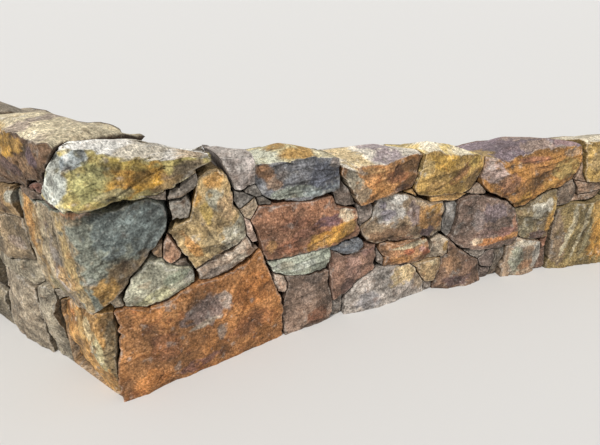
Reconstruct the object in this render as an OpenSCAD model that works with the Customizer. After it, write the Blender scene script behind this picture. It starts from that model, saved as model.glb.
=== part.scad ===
// Dry stone retaining wall with a curved front and a short return wall round an open corner.
// Every stone is laid dry. The front and the return are one strip, set out by
//   u  distance along the foot: above 0 the curved front, below 0 the return, 0 the corner
//   z  height over the foot
//   d  depth into the wall from its leaning face
// The origin is the foot of the corner, X the chord of the front, Y into the bank, Z up.

/* [Wall] */
// Length of the curved front along its foot
front_len = 3300; // [3100:10:3700]
// Length of the return wall along its foot
return_len = 1300; // [1200:10:1600]
// Radius of the foot of the front on plan, with its hollow side outwards
foot_radius = 5860; // [4500:10:12000]
// Angle on plan inside the corner
corner_angle = 107; // [95:1:120]
// Height of the corner cap's face, near enough
face_h = 1000; // [900:5:1150]
// Set-back of the front for each unit of height
batter = 0.08; // [0.04:0.01:0.1]
// Set-back of the return wall's face for each unit of height
return_batter = 0.03; // [0.01:0.01:0.06]
// Thickness of the hearting at the foot
core_thick = 140; // [120:5:260]

/* [Stones] */
// Gap between two stones where they bear on each other
bed_gap = 0.3; // [0.2:0.1:0.8]
// Width of the pitched arris round a stone's face
arris_w = 9; // [5:1:12]
// Depth of the pitched arris
arris_d = 13; // [8:1:20]
// Swell of a stone's face in front of its arris
face_swell = 13; // [4:1:20]
// Unevenness of a stone's face
face_rough = 7; // [0:1:10]
// Depth of the face stones into the wall
skin_depth = 230; // [200:5:240]
// Narrowing of a stone towards its tail
tail_taper = 15; // [8:1:22]
// Depth of the bearing band behind the arris
bearing_d = 70; // [50:5:100]

/* [Pinnings] */
// Depth of the small pinning stones
pin_depth = 110; // [80:5:150]
// Width of a pinning's arris
pin_arris = 5; // [3:1:7]

/* [Rear] */
// Depth of the rear stones
rear_depth = 150; // [120:5:160]
// Unevenness of the beds of the rear courses
bed_wave = 9; // [0:1:14]

/* [Caps] */
// Set-back of the cap stones from the rear face
cap_setback = 12; // [5:1:30]
// Height of a cap's tail, as a part of the height that its nose has over the bed
tail_part = 0.45; // [0.35:0.05:0.8]

/* [Hidden] */
// The joint net is set out at these sizes and follows the wall's own sizes from there
net_front = 3300;
net_return = 1300;
net_h = 1000;
// Length on either side of the corner over which the upright joints turn square to the face
corner_reach = 700;
wall_thick = skin_depth + core_thick + rear_depth;
half_turn = front_len / foot_radius * 90 / PI;
arc_centre = foot_radius * [sin(half_turn), -cos(half_turn)];
return_heading = half_turn + corner_angle;
return_dir = [cos(return_heading), sin(return_heading)];
return_in = [sin(return_heading), -cos(return_heading)];
half_gap = bed_gap / 2;
// Ends of the rear skin and the hearting, inside the through stones of the two ends
rear_from = -1045;
rear_to = 3050;
// Run over which a cap's nose steps up or down to the bed of its tail
heel_run = 25;
// Stretch over either end of a cap in which its crown doesn't swell
crest_in = 50;
// Clearance between the caps and the bed behind the face stones
cap_clear = 1.5;
// Legs of the bonded stones in the inner corner of the rear skin
short_leg = 220;
long_leg = 330;
// Courses in the rear skin, one node each
rear_courses = 4;
// Greatest spacing of the kinks in the beds of the rear skin
kink = 150;
// Clearance of the hearting from the face stones, from the rear skin and the caps over it, and
// from the through stones of the ends
core_gap = 1;
core_slack = 3;
core_end = 20;

// Level on which the caps sit behind the face stones, straight from one joint of the caps to the next
bed_line = [[-1300, 790], [-1075, 780], [-870, 785], [0, 812], [185, 810], [532, 775], [697, 690],
    [1095, 640], [1530, 575], [1910, 535], [2530, 510], [2935, 505], [3060, 505], [3180, 500],
    [3300, 505]];
function cap_bed(u) = lookup(u, bed_line);
stations = [for (i = [0 : len(bed_line) - 2])
    let (a = bed_line[i][0], b = bed_line[i + 1][0], m = ceil((b - a) / kink))
    each [for (j = [0 : m - 1]) a + (b - a) * j / m]];

// Depth to which the tops of the caps run level before they fall to their tails
function crown_d(u) = lookup(u, [[-1300, 250], [-165, 200], [-150, 50], [300, 50], [600, 90],
    [900, 150], [1100, 160], [1285, 300], [1450, 120], [1600, 80], [1850, 90], [2050, 170],
    [2250, 180], [2400, 90], [3300, 110]]);

// Plan of the strip at the offsets ef from the foot line of the front and er from the return's
function return_at(t, e) = t * return_dir + e * return_in;
function arc_at(s, e) = let (a = 90 + half_turn - s / foot_radius * 180 / PI)
    arc_centre + (foot_radius + e) * [cos(a), sin(a)];
function mitre(ef, er) = (ef + er * cos(corner_angle)) / sin(corner_angle);
function plan_at(u, ef, er) = u <= 0
    ? return_at(-u + mitre(ef, er) * max(0, 1 + u / corner_reach), er)
    : let (k = return_at(mitre(ef, er), er) - arc_centre,
           s0 = (90 + half_turn - atan2(k.y, k.x)) * foot_radius * PI / 180,
           e0 = norm(k) - foot_radius,
           w = max(0, 1 - u / corner_reach))
      arc_at(u + s0 * w, ef + (e0 - ef) * w);

// A point of the wall from its place in the net, by its depth or by its offset e on plan
function net_u(u) = u > 0 ? u * front_len / net_front : u * return_len / net_return;
function net_z(z) = z * face_h / net_h;
function at_offset(u, z, e) = let (p = plan_at(net_u(u), e, e)) [p.x, p.y, net_z(z)];
function at_depth(u, z, d) = let (h = net_z(z),
                                  p = plan_at(net_u(u), batter * h + d, return_batter * h + d))
    [p.x, p.y, h];

// Repeatable scatter between 0 and 1
function scatter(a, b) = let (q = sin(a * 12.9898 + b * 78.233) * 4375.85) q - floor(q);

// Outline moved in by w, except along the ground and along the line of the corner
function edge_in(a, b) = let (v = b - a) [-v.y, v.x] / norm(v);
function on_ground(a, b) = a.y < 1 && b.y < 1;
function turn_in(n1, n2, w1, w2) = let (q = cross(n1, n2), w = max(w1, w2))
    abs(q) < 0.3 ? (n1 + n2) / norm(n1 + n2) * w
    : let (v = [w1 * n2.y - w2 * n1.y, w2 * n1.x - w1 * n2.x] / q)
      norm(v) > 2.2 * w ? v * 2.2 * w / norm(v) : v;
function inset(o, w) = let (n = len(o)) [for (i = [0 : n - 1])
    let (a = o[(i + n - 1) % n], p = o[i], b = o[(i + 1) % n],
         q = p + turn_in(edge_in(a, p), edge_in(p, b),
                         on_ground(a, p) ? 0 : w, on_ground(p, b) ? 0 : w))
    [abs(p.x) < 0.5 ? p.x : q.x, p.y < 1 ? p.y : q.y]];

// Point from which the whole outline can be seen, found by steps away from the nearest edge
function middle(o) = [for (p = o) 1] * o / len(o);
function span(o) = max(max([for (p = o) p.x]) - min([for (p = o) p.x]),
                       max([for (p = o) p.y]) - min([for (p = o) p.y]));
function clear_of(o, c) = let (n = len(o)) [for (i = [0 : n - 1])
    edge_in(o[i], o[(i + 1) % n]) * (c - o[i])];
function away(o, c) = let (r = clear_of(o, c), i = search(min(r), r)[0])
    edge_in(o[i], o[(i + 1) % len(o)]);
function stepped(o, c, size, k) = k == 60 ? c
    : stepped(o, c + away(o, c) * size / (k + 2), size, k + 1);
function heart(o) = stepped(o, middle(o), span(o) / 4, 0);
function drawn_in(o, c, k) = [for (p = o) c + (p - c) * k];
// Room between that point and the nearest edge, which limits how far an outline is moved in
function room(o, c) = min(clear_of(o, c));

// Closed solid through rings of as many points each, from the point in front to the one behind
module barrel(rings, front, back) {
    n = len(rings[0]);
    k = len(rings);
    last = n * k + 1;
    function id(j, i) = 1 + j * n + i % n;
    polyhedron(
        concat([front], [for (r = rings) each r], [back]),
        concat([for (i = [0 : n - 1]) [0, id(0, i + 1), id(0, i)]],
               [for (j = [0 : k - 2], i = [0 : n - 1]) each
                   [[id(j, i), id(j, i + 1), id(j + 1, i + 1)],
                    [id(j, i), id(j + 1, i + 1), id(j + 1, i)]]],
               [for (i = [0 : n - 1]) [last, id(k - 1, i), id(k - 1, i + 1)]]),
        convexity = 6);
}

// Depths over a split face: proud is how far it stands out, lean its slope along u and z
function face_depth(p, c, proud, lean) = -proud + lean.x * (p.x - c.x) + lean.y * (p.y - c.y)
    + face_rough * (scatter(p.x, p.y) - 0.5);
function face_rings(o, c, proud, lean, w) = let (rim = inset(o, min(w, room(o, c) * 0.4)))
    [[for (p = drawn_in(rim, c, 0.5)) at_depth(p.x, p.y, face_depth(p, c, proud, lean) - face_swell)],
     [for (p = rim) at_depth(p.x, p.y, face_depth(p, c, proud, lean) * 0.8)],
     [for (p = inset(o, half_gap)) at_depth(p.x, p.y, arris_d)]];
function face_front(c, proud) = at_depth(c.x, c.y, -proud - face_swell);

// Stone of the face, from its outline in the net
module stone(o, proud = 4, lean = [0, 0], depth = skin_depth, w = arris_w, c = undef) {
    m = is_undef(c) ? heart(o) : c;
    tail = inset(o, min(tail_taper, room(o, m) * 0.3));
    barrel(concat(face_rings(o, m, proud, lean, w),
                  [[for (p = inset(o, half_gap)) at_depth(p.x, p.y, bearing_d)],
                   [for (p = tail) at_depth(p.x, p.y, depth)]]),
           face_front(m, proud), at_depth(m.x, m.y, depth));
}

// Small stone wedged into a joint
module pinning(o, proud = 0, deep = pin_depth) {
    m = heart(o);
    tail = inset(o, min(tail_taper, room(o, m) * 0.3));
    rim = inset(o, min(pin_arris, room(o, m) * 0.35));
    barrel([[for (p = rim) at_depth(p.x, p.y, 4 - proud + face_rough * (scatter(p.x, p.y) - 0.5))],
            [for (p = inset(o, half_gap)) at_depth(p.x, p.y, arris_d)],
            [for (p = tail) at_depth(p.x, p.y, deep)]],
           at_depth(m.x, m.y, -proud), at_depth(m.x, m.y, deep));
}

// Cap stone: its nose has the outline in the net, of which the first points, as many as sole, are
// the underside. The tail lies on the bed of the caps and thins to the rear. The crown swells over
// the stretch crest, part is the share of the nose's height that is left at the end of the tail,
// and root gives the places of the tail along the wall
module cap(o, sole, proud = 6, lean = [0, 0], rise = 0, crest = undef, part = tail_part,
           root = undef, c = undef) {
    m = is_undef(c) ? heart(o) : c;
    swell = is_undef(crest)
        ? [min([for (p = o) p.x]) + crest_in, max([for (p = o) p.x]) - crest_in] : crest;
    end = wall_thick - cap_setback;
    body = inset(o, half_gap);
    nose = inset(o, min(tail_taper / 2, room(o, m) * 0.2));
    function rooted(u) = is_undef(root) ? u : lookup(u, root);
    function bed(p) = cap_bed(rooted(p.x)) + cap_clear;
    function bulge(u) = rise * sin(180 * max(0, min(1, (u - swell[0]) / (swell[1] - swell[0]))));
    function thin(u, d) = 1 - (1 - part) * max(0, min(1, (d - crown_d(u)) / (end - crown_d(u))));
    function top(p, d) = bed(p) + (p.y + bulge(p.x) - bed(p)) * thin(p.x, d);
    function ring(d, low) = [for (i = [0 : len(o) - 1]) let (p = nose[i])
        [rooted(p.x), i >= sole ? top(p, d) : low == 0 ? p.y : low == 1 ? max(p.y, bed(p)) : bed(p)]];
    heel_from = skin_depth - heel_run;
    bed_from = skin_depth + heel_run;
    tail = ring(end, 2);
    tail_c = heart(tail);
    barrel(concat(face_rings(o, m, proud, lean, arris_w),
                  [[for (i = [0 : len(o) - 1]) let (p = body[i])
                       at_depth(p.x, i < sole ? p.y : p.y + bulge(p.x), bearing_d)],
                   [for (p = ring(heel_from, 0)) at_depth(p.x, p.y, heel_from)],
                   [for (p = ring(skin_depth, 1)) at_depth(p.x, p.y, skin_depth)],
                   [for (p = ring(bed_from, 2)) at_depth(p.x, p.y, bed_from)],
                   [for (p = tail) at_offset(p.x, p.y, end - arris_d)],
                   [for (p = inset(tail, min(tail_taper, room(tail, tail_c) * 0.3)))
                       at_offset(p.x, p.y, end)]]),
           face_front(m, proud), at_offset(tail_c.x, tail_c.y, end));
}

// Stone that runs through the wall at a free end
module through_stone(o, proud = 4) {
    m = heart(o);
    rim = inset(o, arris_w);
    body = inset(o, half_gap);
    barrel(concat(face_rings(o, m, proud, [0, 0], arris_w),
                  [[for (p = body) at_offset(p.x, p.y, wall_thick - arris_d)],
                   [for (p = rim) at_offset(p.x, p.y, wall_thick)]]),
           face_front(m, proud), at_offset(m.x, m.y, wall_thick + face_swell / 2));
}

// Stones of one rear course, between the waved beds below and above it
function waves(k) = [for (i = [0 : len(stations) - 1]) [stations[i], bed_wave * (scatter(i, k) - 0.5)]];
function rear_height(u, k) = cap_bed(u) * k / rear_courses
    + (k == 0 || k == rear_courses ? 0 : lookup(u, waves(k)));
function between(a, b) = [for (x = stations) if (x > a + 1 && x < b - 1) x];
// Joints of a course, kept clear of the kinks in its beds
function off_kink(u) = let (i = len(between(stations[0], u)), a = stations[i], b = stations[i + 1])
    a + (b - a) * (0.3 + 0.4 * (u - a) / (b - a));
function spread(a, b, m, k) = [for (j = [0 : m]) j == 0 ? a : j == m ? b
    : off_kink(a + (b - a) * (j + 0.5 * scatter(j, k + 3) - 0.25) / m)];
function rear_outline(a, b, k) = let (xs = concat([a], between(a, b), [b]), n = len(xs))
    concat([for (x = xs) [x, rear_height(x, k)]],
           [for (i = [n - 1 : -1 : 0]) [xs[i], rear_height(xs[i], k + 1)]]);

module rear_stone(o, c = undef) {
    m = is_undef(c) ? heart(o) : c;
    rim = inset(o, arris_w);
    body = inset(o, half_gap);
    tail = inset(o, tail_taper / 2);
    barrel([[for (p = tail) at_offset(p.x, p.y, wall_thick - rear_depth)],
            [for (p = body) at_offset(p.x, p.y, wall_thick - bearing_d)],
            [for (p = body) at_offset(p.x, p.y, wall_thick - arris_d)],
            [for (p = rim) at_offset(p.x, p.y, wall_thick - face_rough * scatter(p.x, p.y))]],
           at_offset(m.x, m.y, wall_thick - rear_depth),
           at_offset(m.x, m.y, wall_thick + face_swell / 2));
}

// One course: the stone in the inner corner has its long leg on each wall in turn
module rear_course(k) {
    legs = k % 2 == 0 ? [short_leg, long_leg, 3, 8] : [long_leg, short_leg, 2, 9];
    from = off_kink(-legs[0]);
    to = off_kink(legs[1]);
    near = spread(rear_from, from, legs[2], k);
    far = spread(to, rear_to, legs[3], k);
    for (cuts = [near, far], i = [0 : len(cuts) - 2]) rear_stone(rear_outline(cuts[i], cuts[i + 1], k));
    rear_stone(rear_outline(from, to, k), [0, (rear_height(0, k) + rear_height(0, k + 1)) / 2]);
}

// Cap stones of the front, from the corner to the far end
module corner_cap() color("#c9b45f")
    cap([[-175, 850], [-150, 830], [-80, 835], [-20, 815], [0, 815], [150, 815], [300, 805],
         [325, 810], [380, 830], [450, 850], [530, 880], [525, 900], [350, 915], [200, 955],
         [90, 1000], [0, 1030], [-30, 1020], [-95, 950], [-165, 870]], 11,
        proud = 16, lean = [0, 0.25], rise = 45, crest = [0, 530], part = tail_part / 3,
        root = [[-175, 190], [0, 225], [300, 300], [530, 530]], c = [0, 905]);
module upright_cap() color("#a39a96")
    cap([[590, 780], [600, 745], [640, 735], [665, 755], [695, 760], [695, 835], [700, 840],
         [690, 890], [610, 895], [550, 890], [570, 840], [590, 790]], 5,
        proud = 0, rise = 25);
module slate_cap() color("#5d6270")
    cap([[720, 705], [760, 670], [850, 650], [900, 645], [1050, 660], [1060, 655], [1090, 670],
         [1090, 745], [1085, 815], [1000, 825], [900, 830], [695, 835], [695, 760]], 7,
        proud = 12, rise = 50);
module brown_cap() color("#a3764a")
    cap([[1150, 650], [1170, 605], [1200, 565], [1265, 565], [1310, 585], [1390, 595],
         [1490, 610], [1505, 640], [1525, 690], [1550, 770], [1400, 750], [1200, 755],
         [1100, 775], [1100, 720]], 7,
        proud = 12, rise = 60);
module ochre_cap() color("#a5894a")
    cap([[1500, 600], [1525, 560], [1605, 540], [1700, 540], [1820, 525], [1875, 550],
         [1905, 610], [1910, 620], [1915, 710], [1740, 735], [1600, 785], [1550, 770],
         [1525, 690], [1505, 640]], 6,
        proud = 14, rise = 45);
module purple_cap() color("#9a6f45")
    cap([[1910, 565], [1950, 520], [1960, 510], [2010, 485], [2080, 455], [2140, 405],
         [2205, 410], [2260, 455], [2310, 470], [2400, 485], [2490, 530], [2515, 590],
         [2525, 660], [2515, 720], [2420, 720], [2320, 710], [2180, 700], [2060, 680],
         [1960, 710], [1915, 710], [1910, 620], [1905, 610]], 11,
        proud = 16, rise = 60);
module yellow_cap() color("#b08f4d")
    cap([[2575, 510], [2700, 495], [2850, 500], [2870, 500], [2930, 520], [2940, 640],
         [2930, 740], [2750, 740], [2600, 740], [2530, 735], [2525, 660], [2530, 640],
         [2545, 560]], 5,
        proud = 8, rise = 20);
module far_cap() color("#a08052")
    cap([[2930, 520], [3060, 505], [3180, 500], [3290, 505], [3300, 520], [3300, 700],
         [3285, 720], [3100, 740], [2930, 740], [2940, 640]], 4,
        proud = 10, rise = 10);
// Large stones of the middle of the front
module corner_block() color("#70706a")
    stone([[-425, 385], [-340, 385], [-300, 400], [-225, 415], [-200, 395], [-150, 385], [-100, 390],
           [0, 415], [45, 435], [80, 455], [135, 495], [140, 510], [180, 540], [230, 590],
           [260, 610], [300, 655], [310, 690], [315, 745], [300, 775], [240, 800], [100, 800],
           [0, 815], [-20, 815], [-100, 800], [-150, 795], [-215, 800], [-300, 790], [-440, 795],
           [-450, 760], [-435, 680], [-425, 600], [-425, 490], [-415, 420]],
          proud = 12, c = [0, 610]);
module tall_block() color("#a67e4f")
    stone([[395, 460], [480, 500], [540, 505], [600, 530], [630, 550], [630, 625], [610, 665],
           [590, 705], [590, 780], [590, 790], [570, 840], [500, 850], [455, 825], [435, 790],
           [415, 735], [400, 690], [400, 680], [390, 680], [340, 665], [300, 655], [300, 640],
           [330, 590], [350, 545], [365, 510]], proud = 10);
module small_greys() color("#8d8a84") {
    stone([[320, 680], [390, 680], [400, 680], [400, 690], [415, 735], [400, 770], [320, 770],
           [315, 745]], proud = -6);
    stone([[320, 770], [400, 770], [435, 790], [455, 825], [450, 850], [380, 830], [325, 810]],
          proud = -12);
}
module green_lens() color("#9a9c7c")
    stone([[100, 400], [180, 370], [250, 380], [330, 395], [395, 405], [395, 440], [390, 450],
           [375, 475], [300, 515], [270, 545], [250, 550], [215, 560], [180, 540], [140, 510],
           [135, 495], [95, 440]], proud = 8);
module wedge_slab() color("#97826e")
    stone([[395, 405], [500, 400], [590, 425], [640, 450], [685, 480], [660, 500], [630, 550],
           [600, 530], [540, 505], [480, 500], [395, 460], [390, 450], [395, 440]], proud = 2);
module red_block() color("#92604c")
    stone([[710, 405], [760, 395], [900, 395], [1000, 395], [1040, 390], [1200, 400], [1215, 430],
           [1195, 470], [1190, 545], [1130, 570], [1080, 585], [1055, 640], [900, 645], [850, 650],
           [760, 655], [700, 665], [655, 610], [690, 500], [700, 440]], proud = 10);
module pale_slab() color("#a3a698")
    stone([[750, 325], [800, 300], [900, 290], [1020, 275], [1030, 300], [1040, 370], [1040, 390],
           [1000, 395], [900, 395], [760, 395], [720, 390]], proud = 8);
module blue_slip() color("#8b949b")
    stone([[1040, 370], [1120, 330], [1205, 335], [1220, 370], [1210, 395], [1200, 400], [1040, 390]],
          proud = 4);
module pink_block() color("#94776b")
    stone([[1050, 95], [1100, 110], [1115, 110], [1160, 145], [1205, 185], [1290, 205], [1300, 240],
           [1305, 320], [1300, 340], [1205, 335], [1120, 330], [1040, 370], [1030, 300],
           [1030, 270], [1035, 180]], proud = 6);
module long_block() color("#8f7f6c")
    stone([[1225, 400], [1250, 365], [1300, 340], [1325, 335], [1420, 335],
           [1500, 335], [1590, 320], [1650, 310], [1700, 330], [1695, 400], [1705, 450],
           [1690, 500], [1605, 510], [1530, 550], [1445, 590], [1390, 595],
           [1310, 585], [1285, 540], [1270, 490], [1220, 440], [1215, 430]], proud = 12);
module flat_red() color("#a5764c")
    stone([[1345, 205], [1500, 195], [1600, 195], [1625, 235], [1620, 305], [1590, 320],
           [1500, 335], [1420, 335], [1325, 335], [1320, 295], [1350, 250]], proud = 8);
module grey_cube() color("#97907c")
    stone([[1600, 195], [1700, 190], [1735, 205], [1740, 290], [1700, 310], [1650, 310],
           [1620, 305], [1625, 235]], proud = 4);
module grey_cheek() color("#857d75")
    stone([[1700, 330], [1740, 290], [1760, 300], [1765, 400], [1780, 470], [1760, 490],
           [1705, 485], [1705, 450], [1695, 400]], proud = -4);
module purple_block() color("#7d6d66")
    stone([[1740, 290], [1800, 225], [1900, 195], [2000, 185], [2040, 180], [2100, 180],
           [2125, 180], [2160, 185], [2185, 225], [2180, 285], [2155, 335], [2140, 405],
           [2080, 455], [2010, 485], [1945, 500], [1850, 515], [1790, 495], [1780, 470],
           [1765, 400], [1760, 300]], proud = 14);
module olive_block() color("#8b8468")
    stone([[2185, 225], [2290, 195], [2305, 195], [2385, 205], [2400, 260], [2405, 400],
           [2400, 485], [2310, 470], [2260, 455], [2205, 410], [2140, 405], [2155, 335], [2180, 285]],
          proud = 6);
module dark_block() color("#766b63")
    stone([[2405, 400], [2430, 375], [2500, 395], [2535, 435], [2525, 475], [2490, 530], [2400, 485]],
          proud = -4);

// Stones on the ground along the front
module corner_foot() color("#a8865a")
    stone([[-345, 0], [0, 0], [15, 0], [15, 60], [35, 170], [55, 300], [55, 400], [0, 415],
           [-100, 390], [-150, 385], [-200, 395], [-265, 370], [-325, 330], [-345, 280]],
          proud = 6, c = [0, 210]);
module great_block() color("#a4632f")
    stone([[15, 0], [770, 0], [780, 140], [765, 225], [735, 300], [710, 390], [710, 405],
           [700, 440], [685, 480], [640, 450], [590, 425], [500, 400], [395, 405], [330, 395],
           [250, 380], [180, 370], [100, 400], [55, 400], [55, 300], [35, 170], [15, 60]], proud = 18);
module brown_foot() color("#8a6f58")
    stone([[770, 0], [1040, 0], [1050, 95], [1035, 180], [1030, 270], [1020, 275], [900, 290],
           [800, 300], [815, 260], [800, 210], [780, 140]], proud = 6);
module grey_foot() color("#8d8a80")
    stone([[1100, 0], [1605, 0], [1600, 60], [1570, 110], [1540, 160], [1500, 195], [1345, 205],
           [1290, 205], [1205, 185], [1160, 145], [1115, 110]], proud = 14);
module beige_foot() color("#a69473")
    stone([[1570, 110], [1600, 60], [1660, 50], [1690, 120], [1700, 190], [1600, 195], [1500, 195],
           [1540, 160]], proud = 4);
module rust_foot() color("#86634a")
    stone([[1655, 0], [1965, 0], [1960, 60], [1960, 80], [1940, 130], [1895, 155], [1850, 190],
           [1800, 225], [1740, 290], [1735, 205], [1700, 190], [1690, 120], [1660, 50]], proud = 10);
module pale_foot() color("#a59a88")
    stone([[2080, 0], [2330, 0], [2345, 50], [2365, 120], [2350, 180], [2305, 195], [2290, 195],
           [2185, 225], [2160, 185], [2125, 180], [2115, 135], [2085, 70]], proud = 8);
module banded_foot() color("#97834f")
    stone([[2400, 0], [2840, 0], [2850, 180], [2860, 400], [2690, 420], [2600, 400], [2500, 395],
           [2430, 375], [2410, 300], [2400, 260], [2400, 220], [2395, 150]], proud = 14);

// Stones past the last large block, before the through stones of the far end
module plain_feet() color("#8f8068") {
    stone([[2840, 0], [3080, 0], [3060, 190], [2850, 180]], proud = 6);
    stone([[2850, 180], [3060, 190], [3085, 345], [2980, 360], [2860, 400]], proud = 10);
}
module plain_blocks() color("#93866f") {
    stone([[2690, 420], [2860, 400], [2870, 500], [2850, 500], [2700, 495], [2700, 455]],
          proud = 6);
    stone([[2860, 400], [2980, 360], [3085, 345], [3060, 505], [2930, 520], [2870, 500]],
          proud = 8);
}
module front_end_stones() color("#8c7a62") {
    through_stone([[3080, 0], [3300, 0], [3300, 190], [3290, 200], [3060, 190]]);
    through_stone([[3060, 190], [3290, 200], [3300, 215], [3300, 340], [3290, 350], [3085, 345]]);
    through_stone([[3085, 345], [3290, 350], [3300, 365], [3300, 490], [3290, 505], [3180, 500],
                   [3060, 505]]);
}

// Return wall, away from the corner
module return_cap() color("#7f6a5c")
    cap([[-860, 775], [-690, 770], [-600, 785], [-550, 790], [-430, 810], [-330, 825],
         [-260, 865], [-215, 880], [-165, 870], [-95, 950], [-30, 1020], [-60, 1040],
         [-165, 1040], [-300, 1035], [-450, 1030], [-620, 1015], [-850, 1005], [-880, 900]], 9,
        proud = 12, rise = 25, root = [[-880, -880], [-300, -300], [-165, 0], [-30, 175]]);
module return_far_cap() color("#8f8577")
    cap([[-1290, 790], [-1080, 780], [-1065, 780], [-860, 775], [-880, 900], [-850, 1005],
         [-1060, 1010], [-1285, 1000], [-1300, 985], [-1300, 805]], 4,
        proud = 8, rise = 30);
module return_face() color("#8a7d66") {
    stone([[-690, 655], [-600, 665], [-480, 675], [-435, 680], [-450, 760], [-440, 795], [-430, 810],
           [-550, 790], [-600, 785], [-690, 770]], proud = 4);
    stone([[-810, 430], [-690, 430], [-660, 430], [-550, 465], [-500, 480], [-425, 490], [-425, 600],
           [-435, 680], [-480, 675], [-600, 665], [-690, 655], [-800, 645]], proud = 8);
    stone([[-810, 360], [-690, 365], [-485, 350], [-425, 385], [-415, 420], [-425, 490], [-500, 480],
           [-550, 465], [-660, 430], [-690, 430], [-810, 430]], proud = -2);
    stone([[-1060, 400], [-810, 430], [-800, 645], [-1055, 615]], proud = 6);
    stone([[-1055, 615], [-800, 645], [-690, 655], [-690, 770], [-860, 775], [-1065, 780]],
          proud = 2);
    stone([[-1050, 205], [-900, 215], [-820, 190], [-810, 360], [-810, 430], [-1060, 400]],
          proud = 5);
}
module return_feet() color("#7d7160") {
    stone([[-480, 0], [-345, 0], [-345, 280], [-325, 330], [-340, 385], [-425, 385], [-485, 350],
           [-485, 180]], proud = 0);
    stone([[-820, 0], [-480, 0], [-485, 180], [-640, 200], [-820, 190]], proud = 8);
    stone([[-820, 190], [-640, 200], [-485, 180], [-485, 350], [-690, 365], [-810, 360]],
          proud = 4);
    stone([[-1060, 0], [-820, 0], [-820, 190], [-900, 215], [-1050, 205]], proud = 6);
}
module return_end_stones() color("#85795f") {
    through_stone([[-1300, 0], [-1060, 0], [-1050, 205], [-1290, 200], [-1300, 190]]);
    through_stone([[-1290, 200], [-1050, 205], [-1060, 400], [-1290, 410], [-1300, 395],
                   [-1300, 215]]);
    through_stone([[-1290, 410], [-1060, 400], [-1055, 615], [-1290, 610], [-1300, 600],
                   [-1300, 420]]);
    through_stone([[-1290, 610], [-1055, 615], [-1065, 780], [-1080, 780], [-1290, 790],
                   [-1300, 775], [-1300, 625]]);
}

// Pinning stones in the joints
module left_pinnings() color("#b59a80") {
    pinning([[270, 545], [300, 515], [340, 525], [350, 545], [330, 590], [300, 640], [280, 610]], 4);
    pinning([[250, 550], [270, 545], [280, 610], [260, 610], [230, 590]]);
    pinning([[300, 515], [375, 475], [365, 510], [340, 525]]);
    pinning([[55, 400], [100, 400], [95, 440], [80, 455], [45, 435]]);
    pinning([[630, 550], [660, 500], [690, 500], [655, 610], [630, 625]], 3);
    pinning([[630, 625], [655, 610], [700, 665], [690, 705], [610, 665]], 2);
    pinning([[590, 705], [610, 665], [690, 705], [640, 735], [600, 745]]);
    pinning([[640, 735], [690, 705], [720, 705], [695, 760], [665, 755]], 5);
    pinning([[700, 665], [760, 655], [760, 670], [720, 705], [690, 705]]);
    pinning([[240, 800], [300, 775], [320, 770], [325, 810], [300, 805]]);
}
module middle_pinnings() color("#a99f90") {
    pinning([[735, 300], [765, 225], [800, 210], [815, 260], [800, 300], [750, 325]], 4);
    pinning([[1040, 0], [1100, 0], [1115, 110], [1100, 110], [1050, 95]]);
    pinning([[1300, 240], [1345, 205], [1350, 250], [1320, 295], [1305, 320]]);
    pinning([[1080, 585], [1130, 570], [1140, 575], [1190, 560], [1170, 605], [1150, 650],
             [1100, 720], [1090, 670], [1060, 655]], 4);
    pinning([[1190, 545], [1195, 470], [1220, 440], [1270, 490], [1285, 540], [1265, 565],
             [1200, 565], [1190, 560]], 2);
    pinning([[1605, 0], [1655, 0], [1660, 50], [1600, 60]]);
    pinning([[1445, 590], [1530, 550], [1500, 600]]);
    pinning([[1605, 510], [1690, 500], [1760, 490], [1790, 495], [1850, 515], [1820, 525],
             [1700, 540], [1605, 540]], 3);
}
module right_pinnings() color("#a3917c") {
    pinning([[1850, 515], [1945, 500], [1960, 510], [1950, 520], [1910, 565], [1875, 550],
             [1820, 525]]);
    pinning([[1850, 190], [1895, 155], [1940, 130], [1965, 150], [2000, 185], [1900, 195]], 3);
    pinning([[1965, 0], [2025, 0], [2040, 60], [1960, 80], [1960, 60]], 2);
    pinning([[1960, 80], [2040, 60], [2060, 120], [2040, 180], [2000, 185], [1965, 150], [1940, 130]], 5);
    pinning([[2025, 0], [2080, 0], [2085, 70], [2115, 135], [2125, 180], [2100, 180], [2040, 180],
             [2060, 120], [2040, 60]]);
    pinning([[2330, 0], [2400, 0], [2395, 150], [2365, 120], [2345, 50]], 1);
    pinning([[2350, 180], [2365, 120], [2395, 150], [2400, 220], [2385, 205]]);
    pinning([[2535, 435], [2500, 395], [2600, 400], [2690, 420], [2700, 455]], 3);
    pinning([[2535, 435], [2700, 455], [2700, 495], [2575, 510], [2490, 530], [2525, 475]]);
    pinning([[2490, 530], [2575, 510], [2545, 560], [2530, 640], [2515, 590]]);
}
module return_pinnings() color("#8f6f62") {
    pinning([[-330, 825], [-265, 830], [-245, 820], [-190, 830], [-175, 850], [-165, 870],
             [-215, 880], [-260, 865]], 4, 65);
    pinning([[-215, 800], [-150, 795], [-100, 800], [-20, 815], [-80, 835], [-150, 830],
             [-175, 850], [-190, 830], [-245, 820]], 2);
    pinning([[-440, 795], [-300, 790], [-215, 800], [-245, 820], [-265, 830], [-330, 825],
             [-430, 810]]);
    pinning([[-325, 330], [-265, 370], [-200, 395], [-225, 415], [-300, 400], [-340, 385]], -15);
}

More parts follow.
